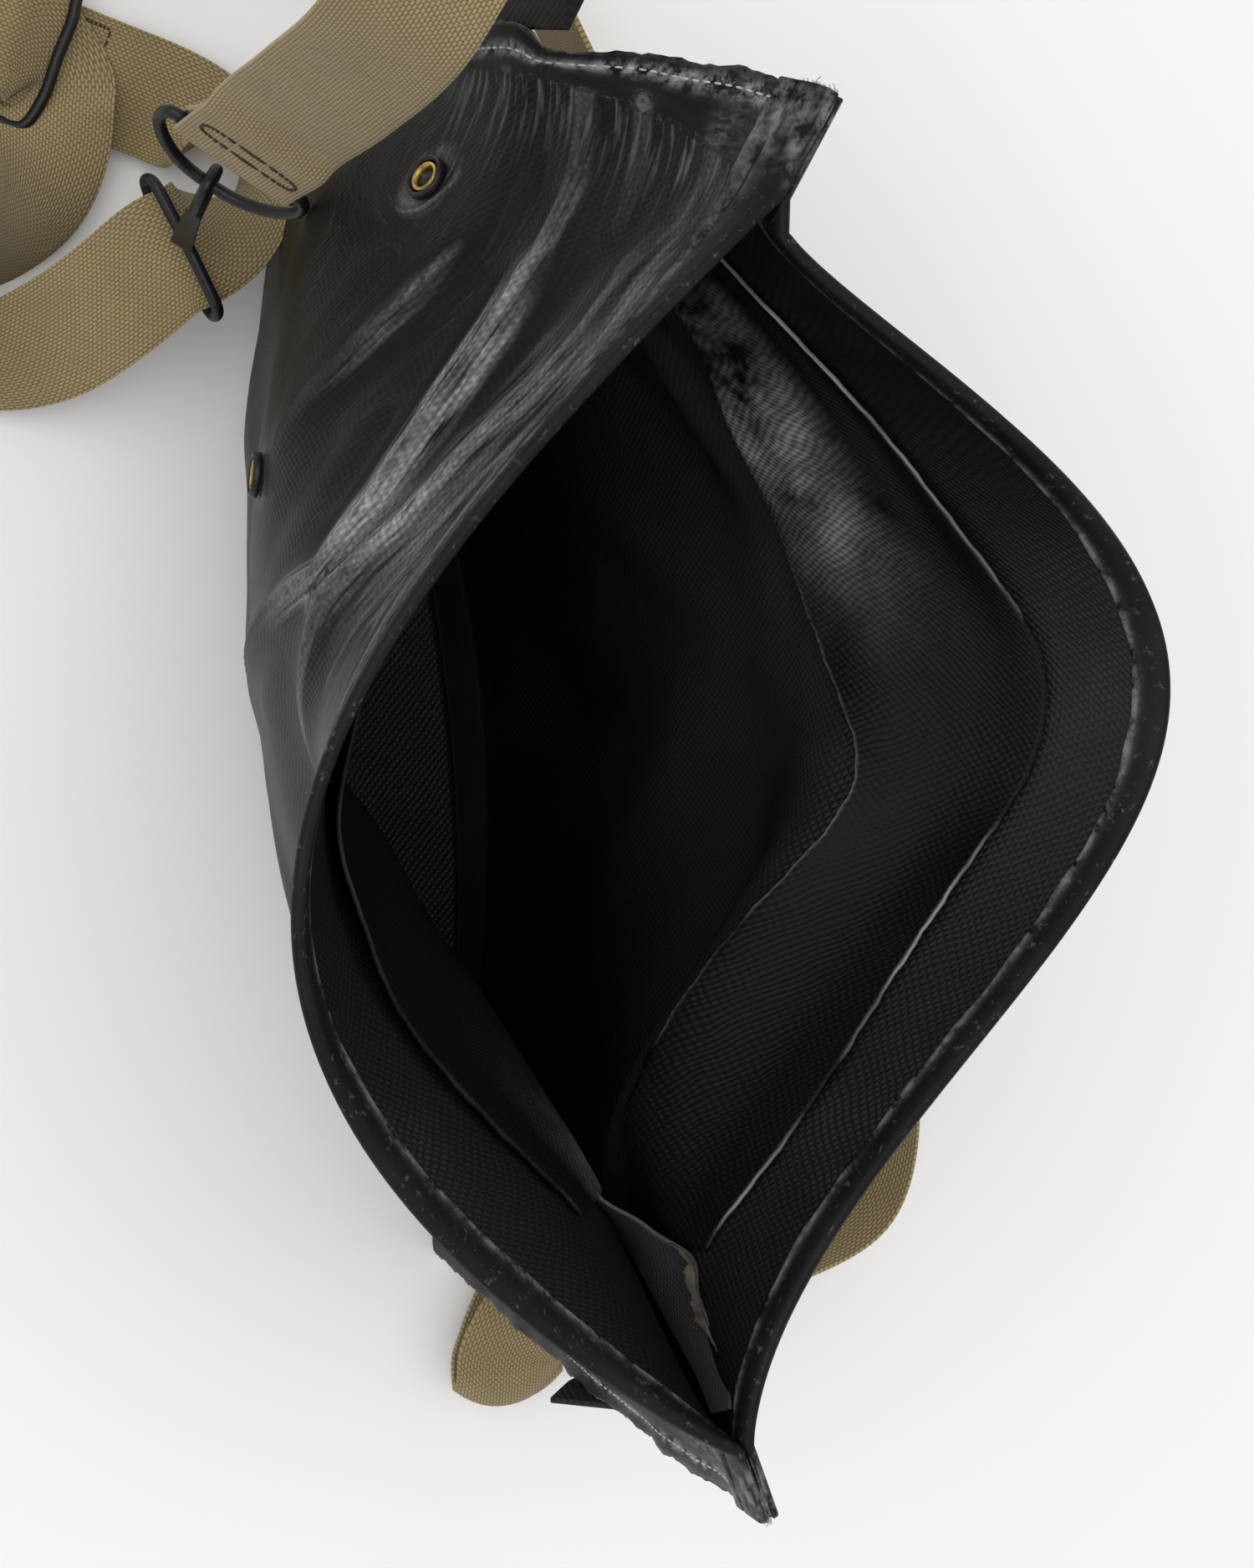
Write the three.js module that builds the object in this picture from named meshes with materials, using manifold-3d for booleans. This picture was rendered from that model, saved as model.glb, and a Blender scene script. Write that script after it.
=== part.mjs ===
import * as THREE from 'three';
import { mergeVertices } from 'three/addons/utils/BufferGeometryUtils.js';
import Module from 'manifold-3d';

// A soft bag of rubberised cloth that stands open on its flattened bottom, with studs on the front
// and a web shoulder strap that is laid round it. Millimetres, +Z up. The origin is the middle of
// the underside, X runs from side seam to side seam and the front panel faces -Y.

// Rubberised cloth
const WALL = 1.6;
const HALF_GAP = 0.15;
const PANEL_WIDTH = 344;
const PANEL_HEIGHT = 245;
const HEM_WIDTH = 5;
const HEM_EXTRA = 1.2;
const HEEL_RADIUS = 6;
const FOOT_WIDTH = 4;
const FOOT_TOP = WALL + HALF_GAP;
const HEEL_TOP = HEEL_RADIUS + FOOT_TOP;

// Cloth bands inside the mouth
const BAND_WALL = 1.1;
const BAND_GLUE_GAP = 0.5;
const BAND_STAND = 3.4;
const BAND_WAVE = 1.1;
const BAND_WAVES = 4;

// Grid of a panel: its columns, and its rows from the heel with those that the bands lie on.
const CURVE_STEPS = 28;
const BODY_ROWS = [0, 0.08, 0.16, 0.24, 0.32, 0.40, 0.48, 0.56, 0.64];
const BAND_ROWS = [0.72, 0.805, 0.89];
const HEM_STEP = 0.006;

// Webbing, its tabs and its metal
const WEB_WIDTH = 32;
const WEB_WALL = 1.6;
const WEB_GAP = 0.3;
const RING_STRAP_STEPS = 3;
const SHOULDER_STEPS = 2;
const TAB_WIDTH = 35;
const TAB_ROOT_GAP = 1.9;
const SEAT_STEP = 0.03;
const TAB_LENGTH = 27;
const TAB_GRIP = 18;
const GRIP_LEAD = 9;
const TAB_WALL = 1.4;
const WIRE = 1.6;
const WIRE_SIDES = 8;
const WIRE_CLEAR = WIRE + 2 * WEB_GAP + WEB_WALL / 2;
const RING_WIDTH = 37;
const RING_LENGTH = 20;
const RING_STEPS = 44;
const HOOK_STEPS = 25;
const GATE_STEPS = 6;
const EYE_REACH = WIRE + WEB_GAP + WEB_WALL / 2;
const EYE_SLANT = EYE_REACH * Math.SQRT1_2;
const SLIDE_LENGTH = 30;
const SLIDE_WIDTH = 42;
const SLIDE_STEPS = 40;
const BAR_STEPS = 4;
const GATE_WIDTH = 6;
const GATE_WALL = 0.9;

// Press studs: half sections of the ring and of the cup in it.
const STUD_RADIUS = 5.3;
const STUD_HOLE = 3.2;
const STUD_HEIGHT = 2.3;
const STUD_GAP = 0.5;
const STUD_SIDES = 14;
const STUD_STEP = 0.02;
const CUP_RADIUS = STUD_HOLE - 0.3;
const PROFILE_COLUMNS = ['radius', 'height'];
const RING_PROFILE = [
  [STUD_HOLE, 0],
  [STUD_RADIUS, 0],
  [STUD_RADIUS, 0.8],
  [4.85, STUD_HEIGHT],
  [3.75, STUD_HEIGHT],
  [STUD_HOLE, 1.2],
  [STUD_HOLE, 0],
];
const CUP_PROFILE = [
  [0, 0],
  [CUP_RADIUS, 0],
  [CUP_RADIUS, 1.8],
  [2.2, 1.8],
  [2.0, 0.8],
  [0, 0.8],
];

// Side seams: a row for each section from the heel to the mouth. The two walls part at left and
// right, and the sewn fin reaches out from there by its own vector.
const SEAM_COLUMNS = [
  'up', 'z', 'leftX', 'leftY', 'leftFinX', 'leftFinY', 'rightX', 'rightY', 'rightFinX', 'rightFinY',
];
const SEAM_ROWS = [
  [0.00, HEEL_TOP, -157, 2, -7, 0, 159, 2, 7, 0],
  [0.27, 70, -157, 3, -7, 1, 158, 2, 7, 0],
  [0.52, 130, -154, 6, -7, 2, 156, 2, 7, 0],
  [0.70, 172, -148, 13, -8, 4, 155, 3, 8, 1],
  [0.84, 203, -135, 30, -12, 9, 151, 4, 12, 2],
  [1.00, 236, -114, 44, -19, 14, 147, 6, 17, 4],
];

// Each wall: how far its middle is lifted and stands out from the line between the seams, the skew
// and power of the curve that it takes, and where across the wall that curve starts and ends.
const WALL_COLUMNS = ['up', 'lift', 'out', 'skew', 'power', 'start', 'end'];
const FRONT_ROWS = [
  [0.00, 0, 31, 1.00, 0.90, 0, 1],
  [0.27, 0, 45, 0.93, 0.85, 0, 1],
  [0.52, 0, 57, 0.85, 0.93, 0, 1],
  [0.72, 0, 64, 0.78, 2.30, 0, 1],
  [0.85, 3, 78, 0.95, 1.80, 0, 1],
  [1.00, 7, 100, 1.15, 0.85, 0, 1],
];
const REAR_ROWS = [
  [0.00, 0, 33, 1.00, 0.90, 0, 1],
  [0.27, 0, 50, 1.00, 0.65, 0, 1],
  [0.52, 0, 60, 1.00, 0.80, 0, 1],
  [0.72, 0, 63, 1.15, 1.45, 0, 0.77],
  [0.85, -6, 80, 0.93, 1.60, 0.015, 0.88],
  [1.00, -15, 103, 0.71, 1.80, 0.03, 1],
];

// Under the heel each wall turns in to a flat foot: how far it is drawn in, and its height there.
const HEEL_RISE = 3;
const HEEL_COLUMNS = ['up', 'inset', 'z', 'finZ'];
const HEEL_ROWS = [
  [-1.00, HEEL_RADIUS + FOOT_WIDTH, FOOT_TOP, 0],
  [-0.66, HEEL_RADIUS, FOOT_TOP, HEEL_TOP / 3],
  [-0.33, HEEL_RADIUS * 0.29, FOOT_TOP + HEEL_RADIUS * 0.29, (HEEL_TOP * 2) / 3],
  [0.00, 0, HEEL_TOP, HEEL_TOP],
];

// Long soft folds: a row for each, from one place on the wall to another. Each fades at its ends and
// where the wall lies flat at a seam.
const FOLD_END = 0.08;
const FOLD_RISE = 4;
const FOLD_COLUMNS = ['fromAcross', 'fromUp', 'toAcross', 'toUp', 'height', 'width'];
const FRONT_FOLDS = [
  [0.08, 0.81, 0.31, 0.78, 4, 12],
  [0.28, 0.79, 0.41, 0.60, 4, 13],
  [0.11, 0.74, 0.34, 0.66, -4, 12],
  [0.14, 0.68, 0.36, 0.52, 4, 13],
  [0.20, 0.42, 0.44, 0.30, -4, 18],
  [0.55, 0.30, 0.82, 0.52, 5, 18],
  [0.52, 0.18, 0.74, 0.36, -4, 18],
];
const REAR_FOLDS = [
  [0.16, 0.30, 0.36, 0.62, 5, 18],
  [0.30, 0.20, 0.46, 0.56, -4, 18],
  [0.58, 0.58, 0.82, 0.36, 5, 18],
  [0.48, 0.46, 0.70, 0.20, -4, 18],
];

// Press studs by their place on the front wall.
const STUD_COLUMNS = ['across', 'up'];
const STUD_ROWS = [
  [0.078, 0.62],
  [0.284, 0.51],
  [0.716, 0.51],
  [0.922, 0.54],
];

// Bands inside the mouth: the columns of the wall that each reaches between.
const BAND_COLUMNS = ['fromColumn', 'toColumn'];
const FRONT_BAND = [6, 20];
const REAR_BAND = [6, 21];

// Courses of the webbing: points of its middle line and the way that it lies across.
const WEB_COLUMNS = ['x', 'y', 'z', 'acrossX', 'acrossY', 'acrossZ'];
const LEFT_TAB_UP = 0.67;
const RIGHT_TAB_UP = 0.61;
const RIGHT_TAB_OUT = new THREE.Vector3(0.10, 0.75, -0.65);
const RIGHT_TAB_ACROSS = new THREE.Vector3(0, -0.65, -0.75);
const RING_STRAP_ROWS = [
  [-200.2, 36.7, 166.5, 0.27, 0.58, 0.77],
  [-211, 39.5, 168, 0.38, 0.85, 0.30],
  [-222.7, 40.5, 174, 0.40, 0.88, 0.25],
  [-231, 36.7, 190, 0.38, 0.85, 0.37],
  [-233, 27.6, 210, 0.30, 0.85, 0.43],
  [-227.7, 15.2, 228, 0.27, 0.88, 0.38],
  [-208, 1, 240, 0.25, 0.92, 0.28],
  [-185, -12, 243, 0.25, 0.93, 0.20],
  [-168, -23, 243, 0.30, 0.94, 0.10],
  [-155, -30, 226, 0.45, 0.88, 0.05],
  [-148, -34, 180, 0.60, 0.80, 0.00],
  [-144, -36, 140, 0.64, 0.77, 0.00],
];
const RING_BAR = new THREE.Vector3(-141, -38, 103);
const RING_ACROSS = new THREE.Vector3(0.64, 0.77, 0);
const HOOK_BASE = new THREE.Vector3(-123.5, -42.9, 46);
const HOOK_ACROSS = new THREE.Vector3(0.94, 0.34, 0);
const HOOK_PASSES = [
  [-125.2, -38.2, 45, 0.94, 0.34, 0],
  [-123.5, -42.9, 46, 0.94, 0.34, 0],
  [-121.8, -47.6, 45.5, 0.94, 0.34, 0],
];
const SLIDE_PLACE = new THREE.Vector3(-184, -75, 12);
const SLIDE_ACROSS = new THREE.Vector3(0.88, -0.47, 0);

// Places in a plane, as pairs of its two ways. A web's end round a bar: ahead and off the web's face.
const EYE_ROWS = [
  [-30, 2.2],
  [-20, 2.6],
  [-8, EYE_REACH],
  [0, EYE_REACH],
  [EYE_SLANT, EYE_SLANT],
  [EYE_REACH, 0],
  [EYE_SLANT, -EYE_SLANT],
  [0, -EYE_REACH],
  [-8, -1.3],
  [-16, 0.1],
  [-23, 0.2],
];
// The ring, in shares of its length and half width: down from its bar and along it.
const RING_OUTLINE = [
  [0, -1],
  [0, -0.55],
  [0, 0],
  [0, 0.55],
  [0, 1],
  [0.28, 1.06],
  [0.7, 0.8],
  [0.95, 0.4],
  [1, 0],
  [0.95, -0.4],
  [0.7, -0.8],
  [0.28, -1.06],
];
// The hook's base: along the web's width and towards the hook. Its ends turn round the web's edges.
const BASE_REACH = WEB_WIDTH / 2 + WIRE + 2 * WEB_GAP;
const BASE_OUTLINE = [
  [-8, -WIRE_CLEAR],
  [3 - BASE_REACH, -WIRE_CLEAR],
  [-0.6 - BASE_REACH, -1],
  [0.4 - BASE_REACH, WIRE_CLEAR],
  [-8, WIRE_CLEAR + 1.4],
  [0, WIRE_CLEAR + 1.6],
  [8, WIRE_CLEAR + 1.4],
  [BASE_REACH - 0.4, WIRE_CLEAR],
  [BASE_REACH + 0.6, -1],
  [BASE_REACH - 3, -WIRE_CLEAR],
  [8, -WIRE_CLEAR],
];
// The hook and its gate: a share of the way to the ring's bow, more beyond that, and to the side.
const HOOK_COLUMNS = ['share', 'beyond', 'side'];
const HOOK_ROWS = [
  [0, WIRE_CLEAR + 1.6, 0],
  [0.35, 0, 0.6],
  [0.62, 0, 3.4],
  [1, -5, 4.4],
  [1, -1, 4.4],
  [1, 2.52, 2.64],
  [1, 3.4, 0],
  [1, 2.52, -2.64],
  [1, -1, -4.4],
  [1, -7, -5],
];
const GATE_ROWS = [
  [0, WIRE_CLEAR + WIRE + 3.6, -WIRE - 1.7],
  [0.5, 0, -WIRE - 2.6],
  [1, -8.4, -5.2],
];
// The slide, in shares of its half length and half width.
const SLIDE_OUTLINE = [
  [-1, -0.6],
  [-1, 0],
  [-1, 0.6],
  [-0.8, 1],
  [0, 1],
  [0.8, 1],
  [1, 0.6],
  [1, 0],
  [1, -0.6],
  [0.8, -1],
  [0, -1],
  [-0.8, -1],
];
// The web at the slide: along it and up. Its sewn end turns round the middle bar, and further on it
// passes under the frame's ends and over the bar.
const SLIDE_EYE = [
  [27, -9.4],
  [15.5, -8.9],
  [6, -4.8],
  [0, -2.8],
  [-2, -2],
  [-2.8, 0],
  [-2, 2],
  [0, 2.8],
  [5.5, -0.2],
  [15.5, -6.4],
  [22, -6.8],
  [31, -6],
];
const SLIDE_PASS = [
  [22, -3.4],
  [15.8, -4],
  [7, 2.1],
  [0, 5.3],
  [-7, 2.1],
  [-15.8, -4],
  [-22, -3.4],
];

// From the slide round the hook's base and back to the slide.
const HOOK_LOOP_ROWS = [
  [-160, -41, 12, 0.75, -0.45, 0.45],
  [-150, -34, 17, 0.30, -0.20, 0.93],
  [-141, -33, 22, 0.00, 0.35, 0.93],
  [-133, -33, 33, 0.40, 0.85, 0.30],
  ...HOOK_PASSES,
  [-112, -62, 37, 0.92, 0.35, -0.12],
  [-104, -76, 24, 0.93, 0.22, -0.28],
  [-100, -92, 17, 0.75, 0.05, -0.66],
  [-102, -107, 18, 0.25, 0.00, -0.97],
  [-112, -114, 18, 0.00, 0.00, -1.00],
  [-122, -103, 18, 0.00, 0.00, -1.00],
  [-133, -85, 18, 0.00, 0.10, -1.00],
  [-145, -67, 20, 0.10, 0.20, -0.95],
  [-156, -53, 24, -0.35, 0.35, -0.85],
  [-166, -46, 21, -0.80, 0.45, -0.30],
];
// From the slide round the back of the bag to the tab on the far side seam.
const ROUND_ROWS = [
  [-198, -100, 13, -0.87, 0.47, -0.05],
  [-206, -109, 20, -0.45, 0.35, -0.82],
  [-219, -104, 18, 0, 0, -1],
  [-225, -72, 17, 0, 0, -1],
  [-226, -20, 17, 0, 0, -1],
  [-223, 20, 17, 0, 0, -1],
  [-212, 48, 17, 0, 0, -1],
  [-192, 66, 17, 0, 0, -1],
  [-165, 78, 17, 0, 0, -1],
  [-130, 90, 17, 0, 0, -1],
  [-85, 102, 17, 0, 0, -1],
  [-40, 112, 17, 0, 0, -1],
  [40, 122, 17, 0, 0, -1],
  [105, 138, 17, 0, 0, -1],
  [150, 147, 17, 0, 0, -1],
  [178, 132, 17, 0, 0, -1],
  [188, 104, 17, 0, 0, -1],
  [184, 68, 17, 0, -0.10, -1],
  [180, 40, 17.5, 0, -0.45, -0.9],
  [186, 22, 12, 0, -0.90, -0.45],
  [199, 16, 3.5, 0, -1, -0.05],
  [209, 15, 3.6, 0, -1, 0],
  [214.5, 14.5, 9, 0, -1, 0],
  [209, 14.5, 15, 0, -1, 0],
  [194, 17, 26, 0, -1, 0],
  [180, 29, 50, 0.1, -1, 0],
  [173, 41, 74, 0, -1, 0],
  [170, 43, 97, 0, -0.96, -0.25],
];

const rubberLook = { color: 0x1d1e20, roughness: 0.55, metalness: 0 };
const bandLook = { color: 0x131415, roughness: 0.5, metalness: 0 };
const webLook = { color: 0x7d7151, roughness: 0.9, metalness: 0 };
const blackMetalLook = { color: 0x121314, roughness: 0.4, metalness: 0.6 };
const brassLook = { color: 0xa98a4b, roughness: 0.35, metalness: 1 };

const wasm = await Module();
wasm.setup();

const group = new THREE.Group();

function addMesh(name, geometry, look) {
  const mesh = new THREE.Mesh(geometry, new THREE.MeshStandardMaterial(look));
  mesh.name = name;
  group.add(mesh);
  return mesh;
}

function named(columns, row) {
  return Object.fromEntries(columns.map((name, i) => [name, row[i]]));
}

function smoothTable(columns, rows) {
  const stations = rows.map((row) => row[0]);
  const samples = rows.flatMap((row) => row.slice(1));
  const curve = new THREE.CubicInterpolant(stations, samples, columns.length - 1);
  return (station) => named(columns, [station, ...curve.evaluate(station)]);
}

function linearTable(columns, rows) {
  const stations = rows.map((row) => row[0]);
  const samples = rows.flatMap((row) => row.slice(1));
  const curve = new THREE.LinearInterpolant(stations, samples, columns.length - 1);
  return (station) => named(columns, [station, ...curve.evaluate(station)]);
}

const seamAt = smoothTable(SEAM_COLUMNS, SEAM_ROWS);
const heelAt = linearTable(HEEL_COLUMNS, HEEL_ROWS);
const frontWall = {
  sign: -1,
  curveAt: smoothTable(WALL_COLUMNS, FRONT_ROWS),
  folds: FRONT_FOLDS.map((row) => named(FOLD_COLUMNS, row)),
};
const rearWall = {
  sign: 1,
  curveAt: smoothTable(WALL_COLUMNS, REAR_ROWS),
  folds: REAR_FOLDS.map((row) => named(FOLD_COLUMNS, row)),
};

// Height of the folds at a place on a wall: each is a soft ridge that fades at both ends.
function foldHeight(folds, across, up) {
  let height = 0;
  for (const fold of folds) {
    const run = new THREE.Vector2(fold.toAcross - fold.fromAcross, fold.toUp - fold.fromUp);
    const here = new THREE.Vector2(across - fold.fromAcross, up - fold.fromUp);
    run.multiply(new THREE.Vector2(PANEL_WIDTH, PANEL_HEIGHT));
    here.multiply(new THREE.Vector2(PANEL_WIDTH, PANEL_HEIGHT));
    const along = THREE.MathUtils.clamp(here.dot(run) / run.lengthSq(), 0, 1);
    const off = here.distanceTo(run.multiplyScalar(along));
    const fade = Math.sin(Math.PI * THREE.MathUtils.lerp(FOLD_END, 1 - FOLD_END, along));
    height += fold.height * fade * Math.exp(-((off / fold.width) ** 2));
  }
  return height;
}

// A place on a wall: across is 0 to 1 from seam to seam, -1 and 2 at the raw edges of the fins; up is
// 0 at the heel and 1 at the mouth, and -1 at the inner edge of the foot.
function wallPoint(wall, across, up) {
  const seam = seamAt(Math.max(up, 0));
  const curve = wall.curveAt(Math.max(up, 0));
  const heel = heelAt(Math.min(up, 0));
  const left = new THREE.Vector2(seam.leftX, seam.leftY);
  const right = new THREE.Vector2(seam.rightX, seam.rightY);
  const t = THREE.MathUtils.clamp(across, 0, 1);
  const chord = right.clone().sub(left);
  const outward = new THREE.Vector2(-chord.y, chord.x).normalize().multiplyScalar(wall.sign);
  const share = THREE.MathUtils.clamp((t - curve.start) / (curve.end - curve.start), 0, 1);
  const swell = Math.max(0, Math.sin(Math.PI * share ** curve.skew)) ** curve.power;
  const fold = foldHeight(wall.folds, across, up) * Math.min(1, FOLD_RISE * swell);
  const plan = left.addScaledVector(chord, t);
  plan.addScaledVector(outward, (curve.out - heel.inset) * swell + fold);
  plan.addScaledVector(new THREE.Vector2(seam.leftFinX, seam.leftFinY), Math.max(0, -across));
  plan.addScaledVector(new THREE.Vector2(seam.rightFinX, seam.rightFinY), Math.max(0, across - 1));
  const underZ = THREE.MathUtils.lerp(heel.finZ, heel.z, Math.min(1, swell * HEEL_RISE));
  const z = up < 0 ? underZ : seam.z + curve.lift * swell;
  return new THREE.Vector3(plan.x, plan.y, z);
}

// A grid of places on a wall with the outward normal at each.
function wallGrid(wall, acrosses, ups) {
  const points = ups.map((up) => acrosses.map((across) => wallPoint(wall, across, up)));
  const lastRow = ups.length - 1;
  const lastColumn = acrosses.length - 1;
  const direction = (from, to) => to.clone().sub(from).normalize();
  const mean = (here, before, after) => {
    const sum = new THREE.Vector3();
    if (before) sum.add(direction(before, here));
    if (after) sum.add(direction(here, after));
    return sum.normalize();
  };
  const normals = points.map((row, r) => row.map((here, c) => {
    const alongRow = mean(here, c > 0 && row[c - 1], c < lastColumn && row[c + 1]);
    const upWall = mean(here, r > 0 && points[r - 1][c], r < lastRow && points[r + 1][c]);
    return alongRow.cross(upWall).normalize().multiplyScalar(-wall.sign);
  }));
  return { points, normals };
}

// Joins two grids of the same size into one closed sheet. The near grid faces -normal.
function closedSheet(near, far, flip) {
  const rows = near.length;
  const columns = near[0].length;
  const positions = [...near.flat(), ...far.flat()].flatMap((p) => p.toArray());
  const index = [];
  const at = (layer, r, c) => layer * rows * columns + r * columns + c;
  const quad = (a, b, c, d) => index.push(...(flip ? [a, c, b, a, d, c] : [a, b, c, a, c, d]));
  for (let r = 0; r < rows - 1; r += 1) {
    for (let c = 0; c < columns - 1; c += 1) {
      quad(at(0, r, c), at(0, r + 1, c), at(0, r + 1, c + 1), at(0, r, c + 1));
      quad(at(1, r, c), at(1, r, c + 1), at(1, r + 1, c + 1), at(1, r + 1, c));
    }
  }
  for (let c = 0; c < columns - 1; c += 1) {
    quad(at(0, 0, c), at(0, 0, c + 1), at(1, 0, c + 1), at(1, 0, c));
    quad(at(0, rows - 1, c), at(1, rows - 1, c), at(1, rows - 1, c + 1), at(0, rows - 1, c + 1));
  }
  for (let r = 0; r < rows - 1; r += 1) {
    quad(at(0, r, 0), at(1, r, 0), at(1, r + 1, 0), at(0, r + 1, 0));
    quad(at(0, r, columns - 1), at(0, r + 1, columns - 1), at(1, r + 1, columns - 1), at(1, r, columns - 1));
  }
  const geometry = new THREE.BufferGeometry();
  geometry.setAttribute('position', new THREE.Float32BufferAttribute(positions, 3));
  geometry.setIndex(index);
  return geometry;
}

function offsetGrid(grid, distance) {
  return grid.points.map((row, r) => row.map((p, c) => (
    p.clone().addScaledVector(grid.normals[r][c], distance(r, c)))));
}

// Columns crowd towards the seams, where the walls turn most.
const curveColumns = Array.from({ length: CURVE_STEPS + 1 }, (_, i) => (
  (1 - Math.cos((Math.PI * i) / CURVE_STEPS)) / 2));
const panelColumns = [-1, -0.5, ...curveColumns, 1.5, 2];
const hemUp = 1 - HEM_WIDTH / PANEL_HEIGHT;
const heelRows = HEEL_ROWS.slice(0, -1).map((row) => row[0]);
const panelRows = [...heelRows, ...BODY_ROWS, ...BAND_ROWS, hemUp, hemUp + HEM_STEP, 1];

// A panel with its rolled hem at the mouth and its flat foot at the floor.
function panel(wall) {
  const grid = wallGrid(wall, panelColumns, panelRows);
  const hemStart = panelRows.length - 2;
  const near = offsetGrid(grid, () => HALF_GAP);
  const far = offsetGrid(grid, (r) => HALF_GAP + WALL + (r >= hemStart ? HEM_EXTRA : 0));
  for (const p of far[0]) p.z = 0;
  for (const p of near[0]) p.z = Math.max(p.z, 0);
  return closedSheet(near, far, wall.sign > 0);
}

// The flat bottom between the two feet.
function basePanel() {
  const inner = curveColumns.slice(1, -1);
  const edge = (wall) => inner.map((across) => {
    const p = wallPoint(wall, across, -1);
    return new THREE.Vector2(p.x, p.y - wall.sign * 2 * HALF_GAP);
  });
  const shape = new THREE.Shape([...edge(frontWall), ...edge(rearWall).reverse()]);
  return new THREE.ExtrudeGeometry(shape, { depth: WALL, bevelEnabled: false });
}

// A band glued to the wall along its middle, with both edges standing off in small waves.
function innerBand(wall, row) {
  const band = named(BAND_COLUMNS, row);
  const acrosses = curveColumns.slice(band.fromColumn, band.toColumn + 1);
  const grid = wallGrid(wall, acrosses, BAND_ROWS);
  const stand = (r, c) => {
    const edge = Math.abs((2 * r) / (BAND_ROWS.length - 1) - 1);
    const share = c / (acrosses.length - 1);
    const wave = BAND_WAVE * Math.sin(2 * Math.PI * BAND_WAVES * share);
    return BAND_GLUE_GAP + edge * Math.sin(Math.PI * share) * (BAND_STAND + wave);
  };
  const far = offsetGrid(grid, (r, c) => -stand(r, c));
  const near = offsetGrid(grid, (r, c) => -stand(r, c) - BAND_WALL);
  return closedSheet(near, far, wall.sign > 0);
}

function bareGeometry(geometry) {
  geometry.deleteAttribute('normal');
  geometry.deleteAttribute('uv');
  return mergeVertices(geometry, 1e-4);
}

function solidOf(geometry) {
  const bare = bareGeometry(geometry);
  const vertProperties = new Float32Array(bare.attributes.position.array);
  const triVerts = new Uint32Array(bare.index.array);
  return new wasm.Manifold(new wasm.Mesh({ numProp: 3, vertProperties, triVerts }));
}

function joined(...geometries) {
  const whole = geometries.map(solidOf).reduce((sum, solid) => sum.add(solid));
  const mesh = whole.getMesh();
  const geometry = new THREE.BufferGeometry();
  geometry.setAttribute('position', new THREE.BufferAttribute(mesh.vertProperties, 3));
  geometry.setIndex(new THREE.BufferAttribute(mesh.triVerts, 1));
  return geometry;
}

// A press stud standing on the front wall: a domed black ring with a brass cup in it.
function addStud(row, number) {
  const place = named(STUD_COLUMNS, row);
  const acrosses = [place.across - STUD_STEP, place.across, place.across + STUD_STEP];
  const grid = wallGrid(frontWall, acrosses, [place.up - STUD_STEP, place.up, place.up + STUD_STEP]);
  const normal = grid.normals[1][1];
  const seat = grid.points[1][1].clone().addScaledVector(normal, HALF_GAP + WALL + STUD_GAP);
  const turn = new THREE.Quaternion().setFromUnitVectors(new THREE.Vector3(0, 1, 0), normal);
  const lathe = (rows) => new THREE.LatheGeometry(rows.map((pair) => {
    const at = named(PROFILE_COLUMNS, pair);
    return new THREE.Vector2(at.radius, at.height);
  }), STUD_SIDES);
  const ring = addMesh(`stud_ring_${number}`, lathe(RING_PROFILE), blackMetalLook);
  const cup = addMesh(`stud_cup_${number}`, lathe(CUP_PROFILE), brassLook);
  for (const mesh of [ring, cup]) {
    mesh.position.copy(seat);
    mesh.quaternion.copy(turn);
  }
}

// Webbing along a course: a flat section that follows the way across given at each point.
function webbing(rows, stepsPerRow) {
  const places = rows.map((row) => named(WEB_COLUMNS, row));
  const middle = new THREE.CatmullRomCurve3(places.map((p) => new THREE.Vector3(p.x, p.y, p.z)));
  const ways = places.map((p) => new THREE.Vector3(p.acrossX, p.acrossY, p.acrossZ));
  const across = new THREE.CatmullRomCurve3(ways, false, 'catmullrom');
  const steps = stepsPerRow * (rows.length - 1);
  const grid = [[], []];
  for (let i = 0; i <= steps; i += 1) {
    const here = middle.getPoint(i / steps);
    const tangent = middle.getTangent(i / steps);
    const side = across.getPoint(i / steps);
    side.addScaledVector(tangent, -side.dot(tangent)).normalize();
    const face = tangent.clone().cross(side);
    for (const [layer, half] of [[0, -WEB_WALL / 2], [1, WEB_WALL / 2]]) {
      const level = here.clone().addScaledVector(face, half);
      const edge = level.clone().addScaledVector(side, -WEB_WIDTH / 2);
      grid[layer].push([edge, level.addScaledVector(side, WEB_WIDTH / 2)]);
    }
  }
  return closedSheet(grid[0], grid[1], true);
}

// The end of a web turned round a bar: the turn and the tail that is sewn back under the web.
function eyeRows(bar, ahead, face, across) {
  return planePoints(bar, ahead, face, EYE_ROWS).map((p) => [...p.toArray(), ...across.toArray()]);
}

function wireLoop(points, radius, steps) {
  const curve = new THREE.CatmullRomCurve3(points, true);
  return bareGeometry(new THREE.TubeGeometry(curve, steps, radius, WIRE_SIDES, true));
}

function wireRun(points, radius, steps) {
  const section = new THREE.Shape().absarc(0, 0, radius, 0, 2 * Math.PI);
  const extrudePath = new THREE.CatmullRomCurve3(points);
  return new THREE.ExtrudeGeometry(section, { steps, curveSegments: WIRE_SIDES / 2, extrudePath });
}

// Places in a plane given by an origin and two directions.
function planePoints(origin, first, second, pairs) {
  return pairs.map(([a, b]) => origin.clone().addScaledVector(first, a).addScaledVector(second, b));
}

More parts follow.
